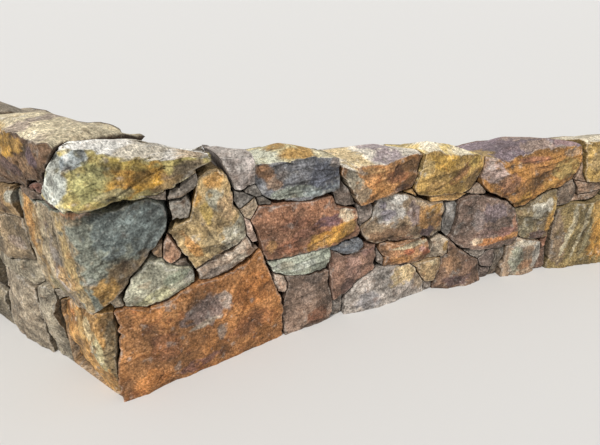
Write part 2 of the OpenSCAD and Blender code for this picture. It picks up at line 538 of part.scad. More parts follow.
// Packed rubble between the two skins
module hearting() color("#77726a") {
    from = rear_from + core_end;
    to = rear_to - core_end;
    front = skin_depth + core_gap;
    rear = wall_thick - rear_depth - core_slack;
    rings = [for (u = concat([from], between(from, to), [to])) let (top = cap_bed(u) - core_slack)
        [at_depth(u, 0, front), at_offset(u, 0, rear), at_offset(u, top, rear), at_depth(u, top, front)]];
    n = len(rings);
    polyhedron([for (r = rings) each r],
        concat([[0, 1, 2], [0, 2, 3]],
               [for (j = [0 : n - 2], i = [0 : 3]) each let (a = 4 * j, k = (i + 1) % 4)
                   [[a + i, a + 4 + i, a + 4 + k], [a + i, a + 4 + k, a + k]]],
               [[4 * n - 4, 4 * n - 2, 4 * n - 3], [4 * n - 4, 4 * n - 1, 4 * n - 2]]),
        convexity = 6);
}

// Rear skin, course by course
module rear_first_course() color("#7f7766") rear_course(0);
module rear_second_course() color("#877c68") rear_course(1);
module rear_third_course() color("#7c7467") rear_course(2);
module rear_top_course() color("#8b8170") rear_course(3);

corner_cap();
upright_cap();
slate_cap();
brown_cap();
ochre_cap();
purple_cap();
yellow_cap();
far_cap();
corner_block();
tall_block();
small_greys();
green_lens();
wedge_slab();
red_block();
pale_slab();
blue_slip();
pink_block();
long_block();
flat_red();
grey_cube();
grey_cheek();
purple_block();
olive_block();
dark_block();
corner_foot();
great_block();
brown_foot();
grey_foot();
beige_foot();
rust_foot();
pale_foot();
banded_foot();
plain_feet();
plain_blocks();
front_end_stones();
return_cap();
return_far_cap();
return_face();
return_feet();
return_end_stones();
left_pinnings();
middle_pinnings();
right_pinnings();
return_pinnings();
hearting();
rear_first_course();
rear_second_course();
rear_third_course();
rear_top_course();
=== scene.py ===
import bpy
import numpy as np
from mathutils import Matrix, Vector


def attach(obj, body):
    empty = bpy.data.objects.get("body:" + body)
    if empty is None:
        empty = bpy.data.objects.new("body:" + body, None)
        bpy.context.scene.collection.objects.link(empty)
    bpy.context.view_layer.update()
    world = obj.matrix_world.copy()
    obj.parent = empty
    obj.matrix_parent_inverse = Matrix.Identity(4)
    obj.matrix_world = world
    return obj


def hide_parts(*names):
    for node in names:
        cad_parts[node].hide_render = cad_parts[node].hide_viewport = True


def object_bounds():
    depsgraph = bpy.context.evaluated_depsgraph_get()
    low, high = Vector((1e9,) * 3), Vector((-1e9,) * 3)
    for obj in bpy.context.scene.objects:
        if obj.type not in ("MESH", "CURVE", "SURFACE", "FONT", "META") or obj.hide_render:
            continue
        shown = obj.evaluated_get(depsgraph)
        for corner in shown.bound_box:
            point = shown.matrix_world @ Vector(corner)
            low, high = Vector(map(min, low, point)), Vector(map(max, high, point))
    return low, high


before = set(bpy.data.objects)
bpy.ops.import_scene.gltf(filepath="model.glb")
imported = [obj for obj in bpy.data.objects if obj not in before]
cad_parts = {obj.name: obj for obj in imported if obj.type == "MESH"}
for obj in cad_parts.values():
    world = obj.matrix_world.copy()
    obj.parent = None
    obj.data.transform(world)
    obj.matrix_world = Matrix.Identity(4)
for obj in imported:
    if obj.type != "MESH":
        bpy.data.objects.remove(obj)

cad_box = [list(corner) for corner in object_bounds()]

# ---- Foot stones of the front ----
# The largest blocks stand in a row along the curve, set on their long edges so that their split
# faces lean back. They are rough sandstone and quartzite, laid dry.

FOOT_RADIUS, FRONT_LENGTH, RETURN_LENGTH, WALL_THICK = 5.86, 3.3, 1.3, 0.52
FRONT_LEAN, RETURN_LEAN = 0.08, 0.03
CORNER, CORNER_REACH = np.radians(107), 0.7
HALF_TURN = FRONT_LENGTH / FOOT_RADIUS / 2
ARC_CENTRE = FOOT_RADIUS * np.array([np.sin(HALF_TURN), -np.cos(HALF_TURN)])
RETURN_DIR = np.array([np.cos(HALF_TURN + CORNER), np.sin(HALF_TURN + CORNER)])
RETURN_IN = np.array([RETURN_DIR[1], -RETURN_DIR[0]])


def corner_foot_at(ef, er):
    """Place on plan where the front, ef behind its foot line, meets the return, er behind its
    own: the mitre along the return line plus er square to it."""
    mitre = (ef + er * np.cos(CORNER)) / np.sin(CORNER)
    return mitre, mitre[..., None] * RETURN_DIR + er[..., None] * RETURN_IN


def about_arc(p):
    """Length along the arc at the foot, and distance behind it, of points on plan."""
    q = p - ARC_CENTRE
    turn = np.pi / 2 + HALF_TURN - np.arctan2(q[..., 1], q[..., 0])
    return turn * FOOT_RADIUS, np.hypot(q[..., 0], q[..., 1]) - FOOT_RADIUS


def roll_up(u, z, d, leans):
    """Model points of the wall's strip: u along the foot, above 0 on the front and below 0 on
    the return, z up, d into the wall from the face, which leans by its own share on either. The
    mitre of the corner fades out over CORNER_REACH on either side of it."""
    ef, er = leans[0] * z + d, leans[1] * z + d
    mitre, corner = corner_foot_at(ef, er)
    along = -u + mitre * np.clip(1 + u / CORNER_REACH, 0, None)
    on_return = along[..., None] * RETURN_DIR + er[..., None] * RETURN_IN
    s0, e0 = about_arc(corner)
    fade = np.clip(1 - u / CORNER_REACH, 0, None)
    turn = np.pi / 2 + HALF_TURN - (u + s0 * fade) / FOOT_RADIUS
    reach = FOOT_RADIUS + ef + (e0 - ef) * fade
    on_front = ARC_CENTRE + reach[..., None] * np.stack([np.cos(turn), np.sin(turn)], -1)
    plan = np.where((u <= 0)[..., None], on_return, on_front)
    return np.concatenate([plan, z[..., None]], -1)


def unroll(p, leans):
    """Strip places u, z, d of model points, the reverse of roll_up. The front's fade depends on
    its own answer, so that is put in again until it settles."""
    plan, z = p[:, :2], p[:, 2]
    er = plan @ RETURN_IN
    d_return = er - leans[1] * z
    mitre, _ = corner_foot_at(leans[0] * z + d_return, er)
    along = plan @ RETURN_DIR
    u_return = (mitre - along) / (1 - mitre / CORNER_REACH)
    u_return = np.where(u_return > -CORNER_REACH, u_return, -along)
    s, e = about_arc(plan)
    ef = e
    for _ in range(15):
        _, corner = corner_foot_at(ef, ef + (leans[1] - leans[0]) * z)
        s0, e0 = about_arc(corner)
        u_front = (s - s0) / (1 - s0 / CORNER_REACH)
        u_front = np.where(u_front < CORNER_REACH, u_front, s)
        ef = e - (e0 - ef) * np.clip(1 - u_front / CORNER_REACH, 0, 1)
    _, at_face = corner_foot_at(leans[0] * z, leans[1] * z)
    mitred = (1 + np.cos(CORNER)) / np.sin(CORNER) * RETURN_DIR + RETURN_IN
    off = plan - at_face
    front = mitred[0] * off[:, 1] - mitred[1] * off[:, 0] < 0
    u = np.where(front, u_front, u_return)
    u[np.abs(u) < 3e-5] = 0  # on the corner
    return np.stack([u, z, np.where(front, ef - leans[0] * z, d_return)], -1)


def noise(p, size, seed):
    """Smooth noise from -1 to 1: values hashed from the places of a cubic lattice of the given
    size, blended between the eight nearest ones."""
    q = p / size + 512
    i = np.floor(q).astype(np.int64)
    f = q - i
    near = f * f * (3 - 2 * f)
    total = np.zeros(len(p))
    for step in np.ndindex(2, 2, 2):
        k = i + np.array(step)
        h = k[:, 0] * 73856093 ^ k[:, 1] * 19349663 ^ k[:, 2] * 83492791 ^ (seed * 7919 + 101)
        h = (h & 0xFFFFFFFF) ^ ((h & 0xFFFFFFFF) >> 13)
        h = (h * 1274126177 & 0xFFFFFFFF) ^ ((h * 1274126177 & 0xFFFFFFFF) >> 16)
        share = np.prod(np.where(np.array(step), near, 1 - near), axis=1)
        total += share * ((h & 0xFFFF) / 32767.5 - 1)
    return total


def layered(p, size, seed, layers=4, fade=0.5):
    """Noises added up, each half the size and fade times the height of the one before."""
    heights = fade ** np.arange(layers)
    total = sum(h * noise(p, size / 2**k, seed + 17 * k) for k, h in enumerate(heights))
    return total / heights.sum()


def soft(x, low, high):
    """Smooth step: 0 below low, 1 above high, and 3t^2 - 2t^3 between."""
    t = np.clip((x - low) / (high - low), 0, 1)
    return t * t * (3 - 2 * t)


def solids_of(node, leans):
    """The solids of a CAD node: the corners of its loose triangles joined, unrolled on to the
    strip, and sorted by which triangles hang together."""
    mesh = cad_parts[node].data
    co = np.empty(3 * len(mesh.vertices))
    mesh.vertices.foreach_get("co", co)
    tri = np.empty(len(mesh.loops), np.int64)
    mesh.loops.foreach_get("vertex_index", tri)
    co = co.reshape(-1, 3)
    _, first, same = np.unique(np.round(co, 5), axis=0, return_index=True, return_inverse=True)
    tri, co = same.ravel()[tri].reshape(-1, 3), co[first]
    label = np.arange(len(co))
    while True:
        lower = label.copy()
        np.minimum.at(lower, tri.ravel(), np.repeat(label[tri].min(axis=1), 3))
        lower = lower[lower]
        if (lower == label).all():
            break
        label = lower
    corners = unroll(co, leans)
    return [(corners, tri[label[tri[:, 0]] == k]) for k in np.unique(label[tri])]


def cut(solid, level):
    """Anticlockwise outline of a solid at one depth: a segment across each triangle that passes
    it, between the edges where its depth rises and falls through the level."""
    corners, tri = solid
    v = corners[tri][..., 2] - level
    after = np.roll(v, -1, axis=1)
    ends = []
    for crossed in ((v < 0) & (after >= 0), (v >= 0) & (after < 0)):
        row = np.nonzero(crossed.any(axis=1))[0]
        a = crossed[row].argmax(axis=1)
        b = (a + 1) % 3
        share = (v[row, a] / (v[row, a] - v[row, b]))[:, None]
        ends.append(corners[tri[row, a]] * (1 - share) + corners[tri[row, b]] * share)
    segments = np.stack(ends, 1)
    x, y = segments[..., 0], segments[..., 1]
    if (x[:, 0] * y[:, 1] - x[:, 1] * y[:, 0]).sum() < 0:
        segments = segments[:, ::-1]
    return segments


def heart_of(segments, near, quoin):
    """Point that sees the whole outline: the one farthest inside every edge's line, less 0.15 of
    its distance from the point before, tried on a grid and again on finer ones. A quoin's is on
    the corner."""
    a, b = segments[:, 0, :2], segments[:, 1, :2]
    edge = b - a
    long = np.hypot(edge[:, 0], edge[:, 1]) > 1e-4
    a, edge = a[long], edge[long] / np.hypot(edge[long, 0], edge[long, 1])[:, None]
    low, high = a.min(axis=0), a.max(axis=0)
    for _ in range(3):
        u, z = np.meshgrid(np.linspace(low[0], high[0], 31), np.linspace(low[1], high[1], 31))
        tried = np.stack([u.ravel() * (0 if quoin else 1), z.ravel()], -1)
        off = tried[:, None] - a
        score = (edge[:, 0] * off[..., 1] - edge[:, 1] * off[..., 0]).min(axis=1)
        if near is not None:
            score = score - 0.15 * np.hypot(*(tried - near).T)
        best = tried[score.argmax()]
        low, high = best - (high - low) / 12, best + (high - low) / 12
    return best


def outline_at(segments, heart, angle):
    """Points u, z, d of the outline in the given directions from the heart: where each ray
    crosses a segment, the farthest crossing. A ray that finds none goes by its neighbours."""
    a, b = segments[:, 0] - [*heart, 0], segments[:, 1] - [*heart, 0]
    ray = np.stack([np.cos(angle), np.sin(angle)], -1)
    side_a = ray[:, :1] * a[:, 1] - ray[:, 1:] * a[:, 0]
    side_b = ray[:, :1] * b[:, 1] - ray[:, 1:] * b[:, 0]
    share = side_a / np.where(side_a == side_b, 1, side_a - side_b)
    hit = a[None] + share[..., None] * (b - a)[None]
    reach = ray[:, :1] * hit[..., 0] + ray[:, 1:] * hit[..., 1]
    reach = np.where((side_a * side_b <= 0) & (side_a != side_b), reach, -1)
    best = reach.argmax(axis=1)
    found = hit[np.arange(len(angle)), best]
    missed = reach.max(axis=1) <= 0
    if missed.any():
        good = np.nonzero(~missed)[0]
        for k in range(3):
            found[missed, k] = np.interp(np.nonzero(missed)[0], good, found[good, k],
                                         period=len(angle))
    return found + [*heart, 0]


def evenly(segments, heart, spacing, quoin):
    """Directions from the heart that meet the outline at even steps along it, at least 14. A
    quoin has two of them straight up and down its corner."""
    fine = np.linspace(0, 2 * np.pi, 4001)
    p = outline_at(segments, heart, fine)
    run = np.concatenate([[0], np.cumsum(np.hypot(np.diff(p[:, 0]), np.diff(p[:, 1])))])
    count = max(14, int(run[-1] / spacing))
    angle = np.interp(np.arange(count) * run[-1] / count, run, fine)
    if quoin:
        for upright in (np.pi / 2, 3 * np.pi / 2):
            angle[np.abs(angle - upright).argmin()] = upright
    return angle


CORNER_SPAN, CORNER_RISE, FLATTEST = 0.006, 0.003, 0.4


def blunted(ring, heart, spacing):
    """The outline with its sharpest corners worn off: no point lies more than CORNER_RISE
    farther from the heart than the mean of those within CORNER_SPAN on either side of it."""
    off = ring[:, :2] - heart
    reach = np.hypot(off[:, 0], off[:, 1])
    near = max(1, int(CORNER_SPAN / spacing))
    mean = sum(np.roll(reach, k) for k in range(-near, near + 1)) / (2 * near + 1)
    ring = ring.copy()
    ring[:, :2] = heart + off * (np.minimum(reach, mean + CORNER_RISE) / reach)[:, None]
    return ring


def square_reach(ring, heart):
    """Distance of each edge's line from the heart, by which an inset becomes a scale, at least
    FLATTEST of the point's own distance, and the share by which the edge faces upwards."""
    step = np.roll(ring, -1, axis=0) - np.roll(ring, 1, axis=0)
    length = np.maximum(np.hypot(step[:, 0], step[:, 1]), 1e-6)
    off = ring - heart
    reach = np.abs(off[:, 0] * step[:, 1] - off[:, 1] * step[:, 0]) / length
    upwards = soft(-step[:, 0] / length, 0.2, 0.8)
    return np.maximum(reach, FLATTEST * np.hypot(off[:, 0], off[:, 1])), upwards


def face_fit(corners, used):
    """Mean shape of the CAD solid's face: the least-squares quadric of depth over u and z, kept
    between the face's own depths."""
    face = corners[used]
    u, z, d = face[face[:, 2] < max(0.011, face[:, 2].min() + 0.012)].T
    middle = np.array([u.mean(), z.mean()])

    def terms(u, z):
        """1, x, y, x^2, xy and y^2 from the face's middle."""
        x, y = u - middle[0], z - middle[1]
        return np.stack([np.ones_like(x), x, y, x * x, x * y, y * y], -1)

    weights = np.linalg.lstsq(terms(u, z), d, rcond=1e-4)[0]
    return lambda u, z: np.clip(terms(u, z) @ weights, d.min(), d.max())


EASE = 0.0014


def cleft(u, z, size, seed, facets, slope):
    """Depth of a face that broke along several planes: the deepest of some tilted planes round
    its middle, eased by EASE where they meet, each steeper or flatter by chance."""
    if not facets:
        return np.zeros_like(u)
    draw = np.random.default_rng(seed)
    turn = (np.arange(facets) + draw.uniform(-0.35, 0.35, facets)) * 2 * np.pi / facets
    tilt = slope * draw.uniform(0.3, 1.2, facets)
    start = size * draw.uniform(0.05, 0.3, facets)
    across = np.cos(turn)[:, None] * u + np.sin(turn)[:, None] * z - start[:, None]
    planes = np.concatenate([tilt[:, None] * across, np.zeros((1, len(u)))])
    return EASE * np.log(np.exp(np.clip(planes / EASE, -60, 60)).sum(axis=0))


def scooped(u, z, seed, spacing, depth):
    """Depth of a face that broke in small shells: shallow scoops side by side, each longer one
    way than the other, of which the deepest counts, so that sharp ridges stand between them."""
    draw = np.random.default_rng(seed + 7)
    low = np.array([u.min(), z.min()]) - spacing / 2
    span = np.array([u.max(), z.max()]) + spacing / 2 - low
    count = int(np.clip(span.prod() / spacing**2, 5, 90))
    centre = low + span * draw.random((count, 2))
    turn, longer = draw.uniform(0, np.pi, count), draw.uniform(1.2, 2.4, count)
    start = draw.uniform(-depth, depth, count)
    du, dz = u - centre[:, :1], z - centre[:, 1:]
    along = (du * np.cos(turn)[:, None] + dz * np.sin(turn)[:, None]) / longer[:, None]
    across = dz * np.cos(turn)[:, None] - du * np.sin(turn)[:, None]
    bowl = 1.1 * depth * (along**2 + across**2) / (0.6 * spacing) ** 2
    return (start[:, None] - bowl).max(axis=0)


def colour(code):
    """Linear colour of a written code, each channel by the standard curve of screens."""
    c = np.array([int(code[k:k + 2], 16) for k in (0, 2, 4)]) / 255
    return np.where(c < 0.04045, c / 12.92, ((c + 0.055) / 1.055) ** 2.4)


# Depths where the arris ends, the sides begin and a nose ends, the middle of the wall, what
# only a stone that goes right through reaches, and the last cut.
ARRIS_END, SIDES_FROM, NOSE_TO, MIDWALL, THROUGH, LAST_CUT = 0.028, 0.03, 0.2, 0.22, 0.4, 0.42
# The deepest bite out of a rim, the width of a shell, the height up to which an outline is on
# the ground, and how far and how wide the corner itself is worn.
BITE, SHELL, FOOT_HEIGHT, QUOIN_WEAR, QUOIN_SPAN = 0.01, 0.07, 0.006, 0.007, 0.03


def levels_of(depth, look):
    """Depths at which a solid is cut: at even steps for a stone that goes right through, wider
    ones behind its nose, and else three or four."""
    if depth > THROUGH:
        step = look["spacing"] * (1.7 if look["kind"] == "cap" else 4)
        behind = np.arange(NOSE_TO, LAST_CUT, 1.5 * step)
        return np.concatenate([np.arange(SIDES_FROM, NOSE_TO, step), behind])
    if depth < NOSE_TO:
        return np.array([SIDES_FROM, (SIDES_FROM + depth) / 2, depth - 0.004])
    return np.array([SIDES_FROM, 0.07, 0.15, depth - 0.005])


def worn_rim(outline, on_ground, seed, look):
    """Width and drop of the worn arris, with small chips and larger bites, and how far the
    joint is open, each drawn along the outline by noise. The foot line stays as it is."""
    at = np.stack([outline[:, 0], outline[:, 1], np.full(len(outline), seed * 0.37)], -1)
    wear = soft(noise(at, 0.06, seed), -0.9, 0.9)
    chips = soft(noise(at, 0.022, seed + 9), 0.1, 0.8)
    bite = BITE * soft(noise(at, 0.05, seed + 11) + 0.4 * noise(at, 0.02, seed + 13), 0.35, 0.9)
    width = np.where(on_ground, 0.0005, look["arris"] * (0.2 + 0.8 * wear + 0.6 * chips) + bite)
    drop = look["arris"] * (0.5 + 0.7 * wear + 0.5 * chips) + 0.8 * bite
    gap = soft(noise(at, 0.07, seed + 5) + 0.7 * noise(at, 0.02, seed + 6), -0.3, 1.2)
    return width, drop, np.where(on_ground, 0, 0.001 + look["joint"] * gap)


def hollows(u, z, at, seed, look):
    """Small relief of a broken face: shells, ridged noise, the steps of the bedding, which
    deepen slowly and end at once, and the cracks, each a groove about a line."""
    d = scooped(u, z, seed, SHELL, look["scoop"])
    d += look["rough"] * (np.abs(layered(at, 0.45 * look["grain"], seed + 1, 3, 0.7)) - 0.3)
    pitch, height, turn = look["bedding"] or (0.1, 0.0045, 0.1 * (seed % 15 - 7))
    across = z * np.cos(turn) - u * np.sin(turn) + 0.25 * pitch * noise(at, 0.07, seed + 3)
    part = across / pitch + 0.9 * noise(at * [1, 3, 1], 0.3, seed + 8)
    d += height * (soft(part % 1, 0, 0.8) - soft(part % 1, 0.86, 1) - 0.4)
    for u0, z0, u1, z1, wide, far in look["cracks"]:
        a, b = np.array([u0, z0]) / 1000, np.array([u1, z1]) / 1000
        run = ((u - a[0]) * (b - a)[0] + (z - a[1]) * (b - a)[1]) / ((b - a) ** 2).sum()
        run = np.clip(run, 0, 1)
        away = np.hypot(u - a[0] - run * (b - a)[0], z - a[1] - run * (b - a)[1])
        away = away + 0.004 * noise(at, 0.03, seed + 4)
        d += far / 1000 * np.exp(-(away / (wide / 1000)) ** 2)
    return d


def shape_stone(solid, seed, look):
    """Closed surface of one stone over direction and row: the split face from its middle to
    its rim, the worn arris as a quarter round, the sides at the CAD solid's own outlines, and
    the tail. Each row has a kind: 0 on the face, up to 1 over the arris, 2 on the sides and 3
    at the back."""
    corners, tri = solid
    used = np.unique(tri)
    low, high = corners[used].min(axis=0), corners[used].max(axis=0)
    deep = high[2] > THROUGH
    levels = levels_of(high[2], look)
    cuts = [cut(solid, level) for level in levels]
    reach_u = cuts[0][..., 0]
    quoin = reach_u.min() < -0.02 and reach_u.max() > 0.02 and look["kind"] != "pinning"
    heart = heart_of(cuts[0], None, quoin)
    angle = evenly(cuts[0], heart, look["spacing"], quoin)
    hearts = np.tile(heart, (len(levels), 1))
    if deep:
        rear_heart = heart_of(cuts[-1], heart, False)
        mid_heart = heart_of(cut(solid, MIDWALL), rear_heart, False)
        known = (SIDES_FROM, MIDWALL, levels[-1])
        ways = np.stack([heart, mid_heart, rear_heart], -1)
        hearts = np.stack([np.interp(levels, known, way) for way in ways], -1)
    rings = [blunted(outline_at(segments, at, angle), at, look["spacing"])
             for segments, at in zip(cuts, hearts)]
    outline = rings[0][:, :2]
    reach, _ = square_reach(outline, heart)
    on_ground = outline[:, 1] < FOOT_HEIGHT
    width, drop, joint = worn_rim(outline, on_ground, seed, look)
    inset = np.clip(1 - (width + joint) / reach, 0.45, 1)

    count = max(3, int(1.15 * np.hypot(*(outline - heart).T).mean() / look["spacing"]))
    share = inset * (np.arange(1, count + 1) / count)[:, None]
    spread = (heart + (outline - heart) * share[..., None]).reshape(-1, 2)
    u, z = np.concatenate([spread, heart[None]]).T
    at = np.stack([u, z, np.full(u.shape, seed * 0.53)], -1)
    hollow = hollows(u, z, at, seed, look)
    size = max(high[0] - low[0], high[1] - low[1])
    d = face_fit(corners, used)(u, z)
    d = d + look["rough"] * (0.6 * noise(at, look["grain"], seed) + 0.2)
    d += look["sunk"] * (seed * 0.618 % 1)
    d = d + cleft(u - heart[0], z - heart[1], size, seed, look["facets"], look["slope"])
    face = np.stack([u, z, d + hollow], -1)
    pole = face[-1]
    rows = list(face[:-1].reshape(count, -1, 3))
    kinds = [0] * (count - 1) + [0.08]

    rim = rows[-1][:, 2]
    for t in (0.3, 0.6, 0.85, 1.0):
        turned = t * np.pi / 2
        k = 1 - (joint + width * (1 - np.sin(turned))) / reach
        u, z = (heart + (outline - heart) * np.maximum(k, inset)[:, None]).T
        d = np.minimum(rim + drop * (1 - np.cos(turned)), ARRIS_END)
        rows.append(np.stack([u, z, d], -1))
        kinds.append(t)
    for ring, centre in zip(rings, hearts):
        to_edge, upwards = square_reach(ring[:, :2], centre)
        narrowed = 1 - joint * (1 - upwards * (look["kind"] == "cap")) / to_edge
        uz = centre + (ring[:, :2] - centre) * narrowed[:, None]
        rows.append(np.concatenate([uz, ring[:, 2:]], -1))
        kinds.append(2)
    ground = np.nonzero(on_ground)[0]
    if len(ground):
        for row in rows:
            ends = sorted((row[ground[0] - 1, 0], row[(ground[-1] + 1) % len(angle), 0]))
            row[ground, 0] = np.clip(row[ground, 0], *ends)

    tail, back = rows[-1], hearts[-1]
    back_depth = high[2]
    if deep:
        def from_plumb(u, z, e):
            """Depth behind the leaning face of what is e behind the foot line."""
            lean = RETURN_LEAN + (FRONT_LEAN - RETURN_LEAN) * soft(u, -0.08, 0.08)
            return e - lean * z

        end = look["end"]
        for e in np.linspace(tail[:, 2].max() + 0.06, end - 0.013, 4):
            row = tail.copy()
            row[:, 2] = np.maximum(from_plumb(tail[:, 0], tail[:, 1], e), tail[:, 2] + 0.002)
            rows.append(row)
            kinds.append(2)
        for r in np.linspace(0.96, 0.12, 3 if look["kind"] == "cap" else 9):
            uz = back + (tail[:, :2] - back) * r
            d = from_plumb(uz[:, 0], uz[:, 1], end + 0.004 * (1 - r))
            rows.append(np.concatenate([uz, d[:, None]], -1))
            kinds.append(3)
        back_depth = from_plumb(back[0], back[1], end + 0.005)
    grid, kinds = np.stack(rows), np.array(kinds, float)
    beyond = np.zeros(grid[..., 0].size - len(hollow) + 1)
    hollow = np.concatenate([hollow[:-1] - hollow.mean(), beyond]).reshape(len(rows), -1)
    if quoin:
        bend = soft(QUOIN_SPAN - np.abs(grid[..., 0]), 0, QUOIN_SPAN)
        grid[..., 2] += QUOIN_WEAR * bend * (kinds < 1.5)[:, None]
        pole[2] += QUOIN_WEAR
    return grid, pole, np.array([*back, back_depth]), kinds, hollow


def normals_of(p):
    """Unit normals of a grid of points that closes on itself round each row: across times
    along."""
    across = np.roll(p, -1, axis=1) - np.roll(p, 1, axis=1)
    along = np.concatenate([p[1:2] - p[:1], p[2:] - p[:-2], p[-1:] - p[-2:-1]])
    n = np.cross(across, along)
    return n / np.maximum(np.linalg.norm(n, axis=-1, keepdims=True), 1e-12)


# The depth that sets the painted shade of a hollow and painted highlight of a ridge, and the
# hues of rust, of pale crust, which also tints the painted highlight of the arrises, and of dust.
PAINTED_SHADE_DEPTH, RUST = 0.007, (0.7, 0.5, 0.4)
CRUST_AND_HIGHLIGHT, DUST = np.array([1.05, 1, 0.9]), np.array([0.30, 0.275, 0.24])


def mix_in(tone, other, share):
    """Takes the tones their share of the way to the other, point by point."""
    tone += (other - tone) * share[:, None]


def paint_stone(p, uz, up, kind, hollow, seed, look):
    """Colour of each point: the stone's own, then its patches, whose edges are drawn about by
    noise and broken up by grain, the top's where the surface looks up, partly its own
    weathered colour and partly painted light from above, then clouding, painted shade in
    hollows and painted highlight on ridges, rust and pale crust in small spots, pale arrises,
    partly worn stone and partly painted highlight, a film of dust, and dark sides in the
    joints, partly dirt and partly painted shade. A patch is an ellipse: its middle and half
    axes in millimetres, its turn in degrees if it has one, and its colour."""
    tone = np.tile(colour(look["base"]), (len(p), 1))
    broad = layered(p, 0.12, seed + 40, 4, 0.65)
    small = layered(p, 0.036, seed + 60, 2, 0.8)
    grain = noise(p, 0.015, seed + 70)
    pull = 26 * np.stack([layered(p, 0.06, seed + 80 + k, 4, 0.7) for k in range(2)], -1)
    # top colours where the surface looks up: partly the tops' own weathered colour, partly painted
    # light from above
    on_top = soft(up + 0.12 * small, 0.45, 0.75) * (kind > 0.5)
    for area, patches in ((1 - on_top, look["patches"]), (on_top, look["top"])):
        if patches and isinstance(patches[0], str):
            mix_in(tone, colour(patches[0]), area)
            patches = patches[1:]
        for u0, z0, a, b, *turn, code in patches:
            du, dz = (uz * 1000 - [u0, z0] + pull * min(1, min(a, b) / 45)).T
            c, s = np.cos(np.radians(sum(turn))), np.sin(np.radians(sum(turn)))
            r = np.hypot((du * c + dz * s) / a, (dz * c - du * s) / b) + 0.5 * small + 0.12 * grain
            share = 0.9 * area * soft(-r, -1.12, -0.82)
            mix_in(tone, colour(code), share * soft(small + 0.5 * grain, -1.1, -0.3))
    clouds = 0.8 * broad + small + 0.25 * grain
    tone *= (1 + look["blotch"] * (1 - 0.5 * on_top) * clouds)[:, None]
    # painted shade in the hollows and painted highlight on the ridges of the face's relief
    tone *= (1 - 0.6 * np.clip(hollow / PAINTED_SHADE_DEPTH, -0.8, 1.1))[:, None]

    def pale(gain):
        """Pale crust colour over the stone, lighter where the stone is; also the painted highlight
        of the arrises.
        """
        return CRUST_AND_HIGHLIGHT * (tone.mean(axis=1, keepdims=True) * gain + 0.1)

    rust = soft(layered(p, 0.06, seed + 120, 3, 0.8) + 0.3 * grain, 0.25, 0.55)
    mix_in(tone, tone * RUST, 0.5 * rust * (1 - on_top))
    crust = soft(layered(p, 0.05, seed + 140, 3, 0.85) + 0.3 * grain, 0.3, 0.6)
    mix_in(tone, pale(1.25), 0.45 * crust)
    # pale arrises: partly worn stone, partly painted highlight
    worn_and_highlit = np.exp(-((kind - 0.25) / 0.3) ** 2) * np.clip(0.6 + 0.8 * small, 0, 1) * (kind > 0)
    mix_in(tone, pale(1.3), 0.55 * worn_and_highlit)
    mix_in(tone, DUST, 0.1 + 0.06 * small)
    grey = tone.mean(axis=1, keepdims=True)
    # dark sides in the joints: partly dirt, partly painted shade
    joint_dirt_and_shade = np.clip(kind, 0, 1) * (kind > 0.7) * (1 - on_top)
    return np.clip((grey + 0.94 * (tone - grey)) * (0.98 - 0.42 * joint_dirt_and_shade)[:, None], 0.004, 1)


def add_node(tree, kind, inputs, **settings):
    """A new shader node with its settings; each input is linked to a socket or set to a value."""
    made = tree.nodes.new("ShaderNode" + kind)
    for name, value in settings.items():
        setattr(made, name, value)
    for name, value in inputs.items():
        if isinstance(value, bpy.types.NodeSocket):
            tree.links.new(value, made.inputs[name])
        else:
            made.inputs[name].default_value = value
    return made


